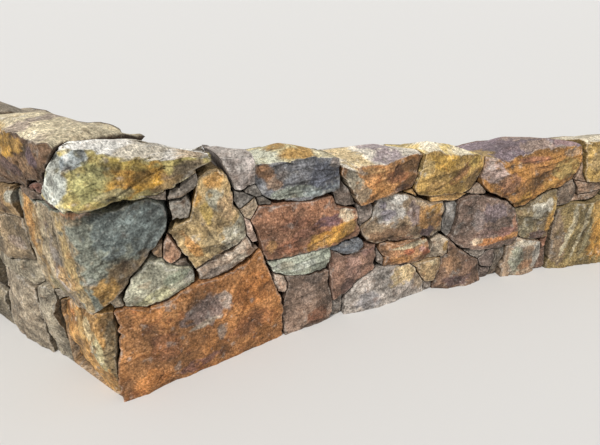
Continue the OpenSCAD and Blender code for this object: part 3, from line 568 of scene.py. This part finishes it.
def finish_stone(slot, speck=0.45, streak=0.4, mottle=0.5, relief=0.0034):
    """Stone's surface over the painted tint: pits and fine grain that darken and lighten it,
    broad clouding, streaks drawn out along the bedding, mineral specks, hairlines along the
    edges of warped cells, and a granular bump in two sizes."""
    material = bpy.data.materials.new(slot + "_surface")
    material.use_nodes = True
    tree = material.node_tree
    shader = tree.nodes["Principled BSDF"].inputs
    shader["Specular IOR Level"].default_value = 0.3
    place = add_node(tree, "TexCoord", {}).outputs["Object"]
    tint = add_node(tree, "Attribute", {}, attribute_name="tint").outputs["Color"]

    def grain(scale, detail, stretch=(1, 1, 1), turn=(0, 0, 0)):
        """Layered noise over the stretched and turned place."""
        mapped = add_node(tree, "Mapping", {"Vector": place, "Scale": stretch, "Rotation": turn})
        return add_node(tree, "TexNoise", {"Vector": mapped.outputs["Vector"], "Scale": scale,
                                           "Detail": detail, "Roughness": 0.62}).outputs["Fac"]

    def ranged(value, *ends):
        """A value's range, low to high, carried on to another and held at its ends."""
        names = ("From Min", "From Max", "To Min", "To Max")
        return add_node(tree, "MapRange", {"Value": value, **dict(zip(names, ends))}).outputs[0]

    def mixed(mode, share, below, above):
        """The colour above, laid over the one below by its share."""
        sockets = {0: share, 6: below, 7: above}
        return add_node(tree, "Mix", sockets, data_type="RGBA", blend_type=mode).outputs[2]

    pits, clouds, fine = grain(55, 8), grain(26, 6), grain(125, 6)
    layers = grain(9, 5, (1, 1, 7), (0.12, 0.2, 0))
    base = mixed("MULTIPLY", 1, tint, ranged(pits, 0.3, 0.7, 1 - mottle, 1 + mottle))
    base = mixed("MULTIPLY", 1, base, ranged(fine, 0.32, 0.68, 0.36, 1.62))
    base = mixed("MULTIPLY", ranged(clouds, 0.5, 0.68, 0, 0.6), base, (0.62, 0.56, 0.52, 1))
    base = mixed("MULTIPLY", ranged(layers, 0.5, 0.66, 0, streak), base, (0.6, 0.54, 0.5, 1))
    base = mixed("MIX", ranged(fine, 0.62, 0.72, 0, speck), base, (0.72, 0.68, 0.6, 1))
    warped = add_node(tree, "VectorMath", {0: grain(11, 4), 1: (0.12, 0.12, 0.12), 2: place},
                      operation="MULTIPLY_ADD").outputs["Vector"]
    edges = add_node(tree, "TexVoronoi", {"Vector": warped, "Scale": 8},
                     feature="DISTANCE_TO_EDGE").outputs["Distance"]
    hairline = add_node(tree, "Math", {0: ranged(edges, 0, 0.02, 1, 0),
                                       1: ranged(grain(6, 3), 0.47, 0.56, 0, 0.8)},
                        operation="MULTIPLY").outputs["Value"]
    base = mixed("MULTIPLY", hairline, base, (0.3, 0.26, 0.23, 1))
    tree.links.new(base, shader["Base Color"])
    tree.links.new(ranged(clouds, 0.3, 0.7, 0.78, 0.95), shader["Roughness"])
    carried = shader["Normal"]
    for height, strength, distance in ((fine, 0.8, relief / 2), (pits, 0.9, relief)):
        bump = add_node(tree, "Bump", {"Height": height, "Strength": strength,
                                       "Distance": distance})
        tree.links.new(bump.outputs["Normal"], carried)
        carried = bump.inputs["Normal"]
    return material


def seen_from_rear(p):
    """Strip places as the rear skin has them, and back again: u the other way, and the depth
    from the wall's rear."""
    return np.stack([-p[..., 0], p[..., 1], WALL_THICK - p[..., 2]], -1)


WEATHERING, END_SPAN = 0.006, 0.04


def weathered(p, n, u, kinds, seed, kind):
    """Points with the open sides, a cap's top or a through stone's within END_SPAN of the wall's
    ends, moved along their normals by WEATHERING times a swell in treads less 0.7, and by how
    much that makes them less hollow, which lessens their painted shade."""
    at_end = (u > FRONT_LENGTH - END_SPAN) | (u < END_SPAN - RETURN_LENGTH)
    at_end &= (kinds > 1)[:, None]
    open_side = soft(n[..., 2], 0.3, 0.7) * (kind == "cap") + at_end * (kind == "through")
    open_side = open_side * ((kinds >= 1) & (kinds < 2.5))[:, None]
    swell = layered(p.reshape(-1, 3), 0.13, seed + 90, 4, 0.55).reshape(u.shape)
    tread = (np.floor(3 * swell) + soft((3 * swell) % 1, 0.8, 1)) / 3
    relief = 0.4 * swell + 0.6 * tread
    moved = p + n * (WEATHERING * (relief - 0.7) * open_side)[..., None]
    return moved, PAINTED_SHADE_DEPTH * relief * open_side


def closed_faces(rows, count):
    """Faces of a grid that closes on itself round each row: quads between the rows, and fans
    about the two points that follow the grid, one for each end."""
    i, j = np.meshgrid(np.arange(rows - 1), np.arange(count), indexing="ij")
    a, b = i * count + j, i * count + (j + 1) % count
    quads = np.stack([a, a + count, b + count, b], -1).reshape(-1, 4)
    k, last = np.arange(count), (rows - 1) * count
    front = np.stack([np.full(count, rows * count), k, (k + 1) % count], -1)
    rear = np.stack([np.full(count, rows * count + 1), last + (k + 1) % count, last + k], -1)
    return quads, front, rear


def joined(name, points, faces, tints):
    """One smooth mesh of closed stones, with their colours in the attribute tint."""
    mesh = bpy.data.meshes.new(name)
    mesh.vertices.add(len(points))
    mesh.vertices.foreach_set("co", points.ravel())
    mesh.loops.add(sum(f.size for f in faces))
    mesh.loops.foreach_set("vertex_index", np.concatenate([f.ravel() for f in faces]))
    sizes = np.concatenate([np.full(len(f), f.shape[1]) for f in faces])
    mesh.polygons.add(len(sizes))
    mesh.polygons.foreach_set("loop_start", np.concatenate([[0], np.cumsum(sizes)[:-1]]))
    mesh.polygons.foreach_set("use_smooth", np.ones(len(sizes), bool))
    tint = mesh.attributes.new("tint", "FLOAT_COLOR", "POINT")
    tint.data.foreach_set("color", np.insert(tints, 3, 1, axis=1).ravel())
    mesh.update(calc_edges=True)
    mesh.validate()
    return mesh


FINISHES = {}


def lay(node, kin, base, patches=(), stones=(), **given):
    """One node's stones as one piece, in the slot of their kin. stones gives places u, z in
    millimetres, with the base colour of the solid nearest to each. A look has the widths of the
    arris and joint, the spacing of the grid, the height (rough) and size (grain) of relief,
    facets and their slope, the depth of scoops, blotches, the pitch, height and turn of the
    bedding, how far it may lie sunk, cracks as two ends, width and depth, and its tail's end."""
    look = dict(kind="face", base=base, patches=patches, top=(), arris=0.006, joint=0.015,
                spacing=0.006, rough=0.009, grain=0.13, facets=4, slope=0.1, scoop=0.0045,
                blotch=0.4, bedding=None, sunk=0, cracks=(), end=0.508)
    look.update(given)
    rear = look["kind"] == "rear"
    leans = (0, 0) if rear else (FRONT_LEAN, RETURN_LEAN)
    points, faces, tints, total = [], [], [], 0
    for corners, tri in solids_of(node, leans):
        if rear:
            corners = seen_from_rear(corners)
        used = corners[np.unique(tri)]
        middle = (used.min(axis=0) + used.max(axis=0)) / 2
        seed = 5000 + int(round(middle[0] * 50)) * 13 + int(round(middle[1] * 50))
        own = dict(look)
        if stones:
            away = [np.hypot(u - middle[0] * 1000, z - middle[1] * 1000) for u, z, _ in stones]
            own["base"] = stones[int(np.argmin(away))][2]
        *stone, kinds, hollow = shape_stone((corners, tri), seed, own)
        grid, pole, back = [seen_from_rear(g) for g in stone] if rear else stone
        p = roll_up(*np.moveaxis(grid, -1, 0), leans)
        ends = [roll_up(*[np.array([x]) for x in end], leans) for end in (pole, back)]
        count = p.shape[1]
        parts = closed_faces(len(p), count)
        a, b, c, _ = np.moveaxis(p.reshape(-1, 3)[parts[0]], 1, 0)
        outward = (np.cross(b - a, c - a) * (a - p.mean(axis=(0, 1)))).sum() > 0
        n = normals_of(p) * (-1 if outward else 1)
        p, raised = weathered(p, n, grid[..., 0], kinds, seed, look["kind"])
        flat = np.clip(np.concatenate([p.reshape(-1, 3), *ends]), *cad_box)
        uz = np.concatenate([grid[..., :2].reshape(-1, 2), pole[None, :2], back[None, :2]])
        up = np.concatenate([n[..., 2].ravel(), [0, 0]])
        kind = np.concatenate([np.repeat(kinds, count), [0, 2]])
        hollow = np.concatenate([(hollow - raised).ravel(), [0, 0]])
        tints.append(paint_stone(flat, uz, up, kind, hollow, seed, own))
        faces += [(part if outward else part[:, ::-1]) + total for part in parts]
        points.append(flat)
        total += len(flat)
    mesh = joined(node, np.concatenate(points), faces, np.concatenate(tints))
    slot = kin + "_stone"
    piece = bpy.data.objects.new(node + "_stone", mesh)
    bpy.context.scene.collection.objects.link(piece)
    if slot not in FINISHES:
        FINISHES[slot] = finish_stone(slot)
    mesh.materials.append(FINISHES[slot])
    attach(piece, "root")
    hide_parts(node)


lay("great_block", "orange", "a76f38", [
    (110, 200, 50, 180, "bd8248"), (150, 60, 90, 40, 10, "b97838"),
    (415, 272, 105, 58, 8, "87746d"), (400, 225, 90, 12, 12, "c6b39c"),
    (500, 300, 25, 40, "b5a190"), (470, 160, 22, 40, "a08a78"), (350, 40, 110, 22, 8, "7c5244"),
    (640, 300, 80, 80, "a5682c"), (300, 330, 90, 30, 12, "b07a45"),
    (600, 140, 110, 50, 15, "a2683a"), (230, 180, 60, 70, "a0673c")],
    slope=0.05, rough=0.008, blotch=0.2, bedding=(0.22, 0.003, 0.35),
    cracks=[(200, 235, 520, 330, 6, 2), (450, 90, 700, 180, 5, 2), (120, 60, 330, 150, 5, 2),
    (560, 210, 740, 330, 5, 2)])
lay("brown_foot", "brown", "8d7462", [
    (960, 60, 60, 40, "8a5d42"), (900, 200, 50, 60, "9a8271"), (950, 260, 50, 30, "7c6a5e")],
    slope=0.06)
lay("grey_foot", "grey", "b3a89d", [
    (1480, 150, 110, 60, 20, "c3aa7a"), (1250, 60, 80, 50, "938e8d"),
    (1330, 200, 60, 40, 10, "b3aaa0"), (1560, 90, 40, 60, "b8a184")],
    slope=0.08, cracks=[(1250, 110, 1500, 60, 5, 3)])
lay("beige_foot", "beige", "ab8f66", [(1640, 200, 30, 40, "cdb98f")])
lay("rust_foot", "brown", "785c48", [
    (1800, 40, 90, 30, "5f4a48"), (1760, 150, 60, 60, "8f6c4c"), (1880, 160, 50, 60, "7c5f4c")],
    slope=0.08)
lay("pale_foot", "beige", "988067", [
    (2330, 120, 40, 90, "c5beb0"), (2180, 100, 40, 80, "a3a48e"), (2260, 60, 60, 30, "a97f5c"),
    (2240, 190, 70, 25, "c9bda6")],
    slope=0.12)
lay("banded_foot", "green", "887446", [
    (2440, 190, 55, 190, 8, "7a6650"), (2515, 250, 16, 190, -14, "b3a88a"),
    (2550, 200, 14, 180, -14, "7c6c44"), (2590, 240, 12, 190, -14, "b8ac8c"),
    (2640, 220, 16, 200, -14, "a3966e"), (2720, 220, 70, 170, -10, "bd8830"),
    (2680, 350, 50, 60, "b78f48"), (2760, 90, 50, 70, "b07f3c")],
    facets=3, slope=0.05, scoop=0.003, bedding=(0.05, 0.004, 1.35))
lay("corner_foot", "rust", "b78a4a", [
    (-250, 310, 50, 45, "a9703a"), (-150, 300, 45, 60, 30, "c09a5c"), (-30, 240, 40, 80, "b0a77e"),
    (-190, 388, 60, 12, "d9ccb0"), (-290, 250, 50, 50, "b58242"), (30, 200, 30, 180, "8f7c5a"),
    (-90, 330, 30, 40, "c9b587")],
    facets=6, slope=0.18, rough=0.008, cracks=[(-130, 380, -105, 200, 5, 7),
    (-230, 380, -180, 260, 5, 6), (-60, 330, -40, 200, 4, 4)])
lay("plain_feet", "beige", "a5936f", spacing=0.011)

# ---- Face stones of the front ----
# The courses between the foot stones and the caps: blocks and slabs of mixed sandstone,
# quartzite and porphyry, each laid on the two below it with its best split face outwards.

lay("corner_block", "teal", "7f8375", [
    (-240, 600, 236, 520, "a08c6c"), (-330, 620, 60, 220, "a98a58"),
    (-190, 560, 50, 150, 12, "9c9288"), (-70, 600, 40, 190, 8, "b0955f"),
    (-240, 640, 26, 190, 8, "c2b08c"), (330, 700, 200, 130, 10, "6a7573"),
    (150, 720, 110, 80, "707b78"), (260, 660, 60, 25, 20, "8d9894"), (120, 640, 40, 20, "8a9490"),
    (400, 750, 50, 30, "7d8884"), (150, 500, 130, 100, 25, "8b7350"), (60, 490, 45, 60, "ab8340"),
    (250, 560, 80, 40, 25, "8f7a58"), (120, 400, 60, 50, "9a7a48"), (-10, 806, 70, 14, "cf9464"),
    (-365, 675, 42, 130, "b98846"), (-390, 500, 45, 70, "cbb692"), (-130, 535, 60, 45, "b5925f"),
    (-275, 440, 60, 45, "a3966c"), (-30, 430, 35, 80, "a08a62")],
    arris=0.007, rough=0.008, grain=0.16, facets=6, slope=0.12, scoop=0.003,
    bedding=(0.07, 0.004, 0.45), cracks=[(380, 780, 200, 600, 7, 4), (60, 650, 280, 480, 6, 3),
    (-160, 760, -120, 420, 6, 4), (-330, 700, -260, 380, 6, 4)])
lay("tall_block", "rust", "b89c6a", [
    (510, 735, 40, 44, "a3a08c"), (570, 560, 70, 75, "c6c0a8"), (400, 570, 24, 70, 30, "bb8746"),
    (470, 690, 26, 50, "cbab58"), (430, 770, 34, 40, "c09040"), (560, 700, 40, 50, "b89a70"),
    (520, 810, 50, 26, "b98a44"), (480, 560, 35, 50, "b09a70"), (620, 620, 36, 50, "b4ad94")],
    facets=5, slope=0.2, rough=0.008, cracks=[(420, 700, 520, 520, 6, 5),
    (560, 740, 640, 600, 6, 4)])
lay("small_greys", "grey", "8f8a7c", [(390, 770, 40, 20, "93806c")], slope=0.2,
    spacing=0.005, stones=[(370, 718, "a8a093"), (395, 806, "847a6e")])
lay("green_lens", "green", "bcb99f", [
    (230, 400, 80, 40, 15, "c6c196"), (420, 470, 80, 50, 20, "cbc9ba"),
    (320, 470, 60, 25, 15, "959c84"), (330, 400, 90, 14, 12, "8b8d75")],
    slope=0.14, cracks=[(180, 400, 480, 480, 6, 4)])
lay("wedge_slab", "red", "a18b76", [
    (600, 470, 90, 14, 20, "cdbfaa"), (680, 500, 60, 30, 20, "a07c60"),
    (500, 430, 60, 30, "96877a"), (560, 500, 70, 18, 20, "b3a28e")],
    slope=0.15, spacing=0.005, bedding=(0.05, 0.004, 0.3))
lay("red_block", "red", "96684a", [
    (1040, 450, 150, 46, 8, "d09a3c"), (960, 425, 60, 20, "b98a48"), (735, 470, 28, 34, "bb8a52"),
    (1030, 535, 75, 26, 5, "6f5054"), (1140, 545, 52, 46, "d2bf9f"), (850, 560, 80, 30, "8a5a40"),
    (820, 450, 60, 40, "9c6648"), (1150, 470, 45, 35, "b99050"), (900, 500, 60, 24, 12, "a27058")],
    slope=0.06, rough=0.006, bedding=(0.08, 0.004, 0.2), cracks=[(880, 480, 1120, 560, 5, 3)])
lay("pale_slab", "green", "a7ac99", [
    (900, 340, 70, 20, 5, "bcbfb0"), (1050, 370, 60, 20, "989f8c"), (800, 350, 40, 25, "b3b09a")],
    slope=0.14, spacing=0.005, bedding=(0.035, 0.004, 0.15))
lay("blue_slip", "slate", "757a80", [(1120, 395, 30, 14, "8c8c8c")], spacing=0.005, slope=0.2)
lay("pink_block", "red", "93705c", [
    (1160, 250, 50, 60, "a68373"), (1250, 330, 50, 35, 20, "8f6c60"),
    (1130, 160, 40, 40, "947064")])
lay("long_block", "grey", "9c8568", [
    (1360, 515, 85, 75, "aaa59d"), (1350, 500, 40, 30, "8a8288"), (1330, 545, 26, 20, "77707a"),
    (1420, 560, 50, 22, "c2beb4"), (1600, 440, 95, 85, "a87a41"), (1640, 480, 50, 30, "b98d48"),
    (1595, 360, 48, 30, "5f4c52"), (1360, 385, 145, 36, 4, "8e6b4c"), (1500, 470, 40, 60, "94807a"),
    (1450, 350, 60, 16, "7c5a44")],
    facets=6, slope=0.16, rough=0.01, grain=0.1, cracks=[(1300, 470, 1420, 520, 8, 7),
    (1480, 570, 1530, 360, 6, 5)])
lay("flat_red", "rust", "ad7f56", [
    (1500, 305, 110, 13, 3, "d6c59e"), (1560, 272, 26, 18, "c7998a"), (1420, 240, 70, 22, "b9834a"),
    (1600, 250, 50, 25, "94583c"), (1480, 275, 40, 16, "a8603c"), (1680, 270, 40, 40, "b59060")],
    spacing=0.005, bedding=(0.045, 0.004, 0.1))
lay("grey_cube", "grey", "bdab92", [(1725, 250, 30, 30, "b08a4c")], slope=0.18, spacing=0.005)
lay("grey_cheek", "grey", "8f8a84", slope=0.2, spacing=0.005)
lay("purple_block", "purple", "7f685a", [
    (1990, 245, 110, 24, 3, "b5763e"), (1900, 250, 40, 24, "d0b99a"), (2170, 330, 50, 60, "b58465"),
    (2000, 400, 90, 50, "77686a"), (2080, 290, 70, 30, "94685a"), (1900, 380, 40, 60, "857670"),
    (2130, 250, 60, 20, "c28a4c"), (1960, 300, 60, 30, "7f665e")],
    slope=0.08, cracks=[(1880, 290, 2160, 275, 6, 4), (1990, 440, 2120, 330, 5, 3)])
lay("olive_block", "green", "766646", [
    (2310, 400, 70, 40, "c3bdab"), (2280, 350, 40, 30, "a29a86"), (2380, 300, 40, 70, "b5893f"),
    (2310, 230, 70, 30, "604b46"), (2230, 290, 35, 60, "8b8268"), (2400, 400, 30, 50, "a88a4c"),
    (2330, 290, 40, 40, "7c6a4c")],
    facets=6, slope=0.2, rough=0.009, cracks=[(2220, 340, 2400, 330, 6, 5),
    (2330, 440, 2360, 250, 5, 4)])
lay("dark_block", "brown", "82705e", [(2000, 130, 40, 60, "75655a")], slope=0.2)
lay("plain_blocks", "beige", "a28f6c", stones=[
    (2600, 420, "a4946c"), (2900, 300, "9c8466"), (3000, 420, "a89672"), (3050, 150, "937a60"),
    (2850, 120, "a08e70")], spacing=0.009)
lay("front_end_stones", "beige", "a08d6c", stones=[
    (3175, 60, "a08866"), (3175, 250, "9a8a74"), (3175, 430, "a5926a")],
    kind="through", spacing=0.013, end=WALL_THICK)

# ---- Return wall ----
# The short wall behind the corner, bonded into the front through the corner stones. It leans
# less, and is laid of the same stone in lower courses.

lay("return_feet", "beige", "a3967c", stones=[
    (-400, 180, "a0957f"), (-600, 200, "988a74"), (-850, 200, "8a7759"), (-1000, 200, "8c8069")],
    facets=5, slope=0.14, spacing=0.0105)
lay("return_face", "beige", "a58f74", stones=[
    (-520, 740, "967a50"), (-520, 600, "927e60"), (-530, 440, "9a8f78"), (-750, 700, "8b7a58"),
    (-800, 500, "8f7b61"), (-950, 650, "81735f"), (-1000, 450, "8c7f68")],
    patches=[(-470, 770, 40, 25, "b5b3a2"), (-560, 720, 40, 40, "7c5e40"),
    (-500, 560, 50, 30, "a4907e")], slope=0.16, spacing=0.0085)
lay("return_end_stones", "beige", "9d8c6f", stones=[
    (-1180, 100, "a38a68"), (-1180, 300, "948672"), (-1180, 500, "a8946c"), (-1180, 690, "9a8468")],
    kind="through", spacing=0.013, end=WALL_THICK)

# ---- Rear skin and hearting ----
# Four courses of plainer stones, laid as the other skin of the wall, and the small rubble that
# is packed between the two. The rubble keeps the CAD's body and gets a surface of chips.

REAR_TONES = ("9c8f78", "8f8270", "a39375", "857b6c", "a08a68", "948a80", "8a7a62", "a59a84")
for course, turn in (("rear_first_course", 0), ("rear_second_course", 3), ("rear_third_course", 5),
                     ("rear_top_course", 2)):
    tones = [REAR_TONES[(3 * k + turn) % len(REAR_TONES)] for k in range(15)]
    lay(course, "rear", "95886f", kind="rear", spacing=0.019, rough=0.007, arris=0.012,
        stones=[(1100 - 310 * k, 400, tone) for k, tone in enumerate(tones)])

rubble = finish_stone("packed_rubble", speck=0.5, streak=0.3, mottle=0.9, relief=0.01)
tree = rubble.node_tree
place = add_node(tree, "TexCoord", {}).outputs["Object"]
chips = add_node(tree, "TexVoronoi", {"Vector": place, "Scale": 22}).outputs["Color"]
shade = add_node(tree, "ValToRGB", {"Fac": chips})
for end, code in zip(shade.color_ramp.elements, ("6b645a", "a09684")):
    end.color = (*colour(code), 1)
tree.links.new(shade.outputs["Color"], tree.nodes["Principled BSDF"].inputs["Base Color"])
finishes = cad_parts["hearting"].data.materials
finishes.clear()
finishes.append(rubble)

# ---- Pinnings ----
# Thumb to palm sized chips that are wedged into the joints once the big stones lie, to stop
# them rocking. They are offcuts of every colour in the wall.

CHIP = dict(kind="pinning", arris=0.005, joint=0.004, spacing=0.005, rough=0.005, grain=0.04,
            slope=0.32, sunk=0.005)
lay("left_pinnings", "pinning", "a8947c", **CHIP, stones=[
    (-110, 830, "a5745c"), (297, 792, "a39382"), (330, 570, "bb9070"), (280, 560, "a98660"),
    (160, 350, "a8977e"), (345, 506, "7a6a5a"), (258, 581, "b8946f"), (440, 480, "8f7c6c"),
    (652, 557, "e6c6b0"), (690, 640, "bfa88a"), (640, 500, "b0a394"), (520, 500, "b0a696"),
    (640, 720, "7e7870"), (725, 680, "6e655a")])
lay("middle_pinnings", "pinning", "a3917c", **CHIP, stones=[
    (720, 630, "b29c80"), (790, 280, "cfb39b"), (800, 200, "a89179"), (900, 380, "8d7d6c"),
    (1130, 620, "7f7064"), (1150, 560, "7c7068"), (1226, 521, "86796f"), (1330, 330, "95897c"),
    (1320, 290, "887b70"), (1700, 510, "c89c5a"), (1100, 330, "857a70")])
lay("right_pinnings", "pinning", "a68f70", **CHIP, stones=[
    (1700, 510, "d0a852"), (1850, 480, "a8927c"), (1925, 167, "9c9083"), (2000, 129, "6c5c53"),
    (2074, 102, "665a4c"), (2210, 400, "a09789"), (2370, 70, "7c5f4c"), (2400, 200, "97674b"),
    (2430, 380, "b98a4c"), (2450, 460, "a8967c"), (2500, 480, "a08268"), (2130, 200, "8d7c70")])
lay("return_pinnings", "pinning", "9c7c66", **CHIP | dict(spacing=0.007, slope=0.3), stones=[
    (-230, 846, "7a5142"), (-147, 819, "5f5045"), (-420, 780, "776250"), (-450, 480, "958a78")])

# ---- Cap stones ----
# Large flat-bedded stones laid last, right across the wall, to hold both skins down. Their
# noses show rough split ends; their tops are weathered cleavage faces in their own colours,
# most painted paler than the ends, partly as painted light from above.

lay("corner_cap", "ochre", "bfae68", [
    (-80, 930, 100, 110, "c2c7c0"), (35, 985, 45, 30, "b5c0c4"), (-120, 880, 50, 40, "a8aca2"),
    (85, 900, 60, 60, "aba56a"), (230, 890, 105, 55, "d79f30"), (280, 860, 70, 30, 10, "e2aa30"),
    (430, 870, 95, 34, "9a856a"), (340, 840, 60, 20, 15, "a8895a"), (150, 850, 60, 20, "b7ac7c"),
    (200, 940, 80, 20, -20, "c2a84e")],
    top=["f4f0e6", (250, 960, 150, 30, "e6dac2"), (450, 930, 80, 30, "dcc09a")], kind="cap",
    slope=0.12, rough=0.008, arris=0.008, cracks=[(130, 835, 330, 900, 5, 8),
    (330, 900, 470, 880, 5, 5), (60, 1000, 110, 860, 5, 5)])
lay("upright_cap", "grey", "c0b4ac", [(640, 850, 30, 30, "d0c4bc"), (600, 800, 30, 40, "a0948c")],
    top=["b3a9a0"], kind="cap", slope=0.16, spacing=0.007)
lay("slate_cap", "slate", "6b6c70", [
    (735, 800, 42, 36, "a3774f"), (780, 745, 40, 30, "8f7660"), (850, 690, 130, 30, 4, "8d9385"),
    (980, 690, 80, 26, "7c8482"), (1000, 755, 90, 60, "565a66"), (900, 780, 60, 30, "7c7c80"),
    (1060, 800, 30, 20, "8a8078"), (820, 770, 30, 26, "75716e")],
    top=["decf9e", (760, 850, 70, 50, "dfe0c8"), (930, 850, 110, 20, "bd8f3e"),
    (1040, 850, 60, 30, "ece0bc")], kind="cap", facets=6, slope=0.14, rough=0.01,
    bedding=(0.07, 0.006, 0.12), cracks=[(730, 720, 1060, 745, 5, 6), (850, 800, 1070, 790, 5, 5),
    (760, 680, 1000, 690, 5, 5)])
lay("brown_cap", "brown", "bc854c", [
    (1400, 690, 80, 40, "9c6238"), (1300, 640, 60, 40, "b58044"), (1150, 700, 45, 60, "bfb59c"),
    (1200, 620, 50, 40, "b09a7c"), (1470, 720, 50, 30, "b5824a"), (1250, 730, 90, 16, "b98f5a"),
    (1430, 620, 50, 20, "7c5138")],
    top=["f0e6d2", (1370, 760, 80, 40, "a8989c"), (1200, 760, 60, 30, "ecd199")], kind="cap",
    rough=0.008, cracks=[(1200, 700, 1480, 740, 6, 4), (1330, 600, 1400, 740, 5, 4)])
lay("ochre_cap", "ochre", "ad8a46", [
    (1775, 655, 100, 24, 35, "8c6136"), (1650, 720, 80, 40, "c2993f"),
    (1850, 600, 50, 50, "9a7a4a"), (1620, 600, 60, 30, "a8844a"), (1850, 690, 45, 24, "b99a4c"),
    (1560, 700, 40, 40, "b59a62")],
    top=["eed28a", (1800, 750, 70, 30, "f2e6c8"), (1620, 790, 60, 40, "f6ecd2")], kind="cap",
    slope=0.16, bedding=(0.19, 0.005, 0.6), cracks=[(1620, 580, 1860, 700, 6, 6)])
lay("purple_cap", "rust", "a97634", [
    (1985, 620, 65, 60, "a8928a"), (1960, 690, 40, 30, "b3a094"), (2175, 455, 36, 46, "c4933d"),
    (2120, 540, 60, 60, "b07a3e"), (2400, 600, 100, 60, "a48a4e"), (2250, 620, 90, 50, "a06e36"),
    (2330, 520, 60, 34, "b98a42"), (2060, 560, 60, 50, "94694c"), (2450, 690, 60, 20, "b3906c"),
    (2200, 670, 90, 18, "a06a4a")],
    top=["8c7a80", (2250, 730, 100, 30, "b79d8c"), (1960, 730, 60, 40, "cdab68"),
    (2430, 740, 80, 40, "a58684")], kind="cap", facets=7, slope=0.14, rough=0.01,
    bedding=(0.07, 0.006, 0.3), cracks=[(2060, 690, 2120, 500, 7, 6), (2180, 640, 2480, 600, 6, 4),
    (2230, 470, 2260, 600, 6, 5)])
lay("yellow_cap", "ochre", "b5924c", [
    (2620, 640, 60, 60, "a58a58"), (2780, 600, 90, 60, "b98d44"), (2700, 700, 90, 20, "c9b078")],
    top=["ddd0b4"], kind="cap", spacing=0.0085)
lay("far_cap", "ochre", "a58a58", top=["cdbf9c"], kind="cap", spacing=0.011)
lay("return_far_cap", "beige", "978063", top=["b3a48c"], kind="cap", spacing=0.012)
lay("return_cap", "purple", "634a33", [
    (-390, 985, 75, 50, "c4942f"), (-300, 1000, 60, 26, "b3893c"), (-400, 900, 110, 32, "5f4842"),
    (-185, 978, 38, 28, "5c4a50"), (-260, 930, 60, 36, "8a6a48"), (-600, 950, 120, 60, "9a7a50"),
    (-700, 880, 80, 40, "7c6450")],
    top=["ddceaa", (-330, 1040, 60, 30, "a39283"), (-150, 1000, 70, 40, "b8a893"),
    (-500, 1010, 120, 30, "cdb27c")], kind="cap", facets=7, slope=0.16, rough=0.012, spacing=0.0085,
    cracks=[(-450, 930, -300, 900, 7, 7), (-330, 1000, -280, 880, 6, 5)])

# ---- Floor, light and camera ----
# A plain pale floor that runs out of sight, an even sky, one broad lamp high up on the left,
# and a camera at the photograph's place, with its 480 pixels of focal length for 600 of width.

FAR = 300
floor_mesh = bpy.data.meshes.new("floor")
floor_mesh.from_pydata([(-FAR, -FAR, 0), (FAR, -FAR, 0), (FAR, FAR, 0), (-FAR, FAR, 0)], [],
                       [(0, 1, 2, 3)])
floor = bpy.data.objects.new("floor", floor_mesh)
bpy.context.scene.collection.objects.link(floor)
pale = bpy.data.materials.new("pale_floor")
pale.use_nodes = True
surface = pale.node_tree.nodes["Principled BSDF"].inputs
surface["Base Color"].default_value = (0.72, 0.71, 0.69, 1)
surface["Roughness"].default_value = 0.9
floor_mesh.materials.append(pale)

sky = bpy.data.worlds.new("sky")
sky.use_nodes = True
bpy.context.scene.world = sky
tree = sky.node_tree
lit = tree.nodes["Background"]
lit.inputs["Color"].default_value = (0.97, 0.98, 1, 1)
lit.inputs["Strength"].default_value = 0.5
white = add_node(tree, "Background", {"Color": (1, 1, 1, 1)}).outputs["Background"]
path = add_node(tree, "LightPath", {}).outputs
seen = add_node(tree, "Math", {0: path["Is Camera Ray"], 1: path["Is Glossy Ray"]},
                operation="MAXIMUM").outputs["Value"]
both = add_node(tree, "MixShader", {"Fac": seen, 1: lit.outputs["Background"], 2: white})
tree.links.new(both.outputs["Shader"], tree.nodes["World Output"].inputs["Surface"])

lamp_data = bpy.data.lights.new("broad_lamp", "SUN")
lamp_data.energy, lamp_data.angle = 2.4, np.radians(14)
lamp_data.color = (1, 0.98, 0.95)
lamp = bpy.data.objects.new("broad_lamp", lamp_data)
lamp.rotation_euler = np.radians((40, 0, -50))
bpy.context.scene.collection.objects.link(lamp)

camera_data = bpy.data.cameras.new("camera")
camera_data.lens, camera_data.sensor_width = 480 / 600 * 36, 36
camera = bpy.data.objects.new("camera", camera_data)
camera.location = (0.183, -1.561, 1.495)
camera.rotation_euler = np.radians((63.6, 0, -20.817))
bpy.context.scene.collection.objects.link(camera)
bpy.context.scene.camera = camera
bpy.context.scene.view_settings.view_transform = "Standard"
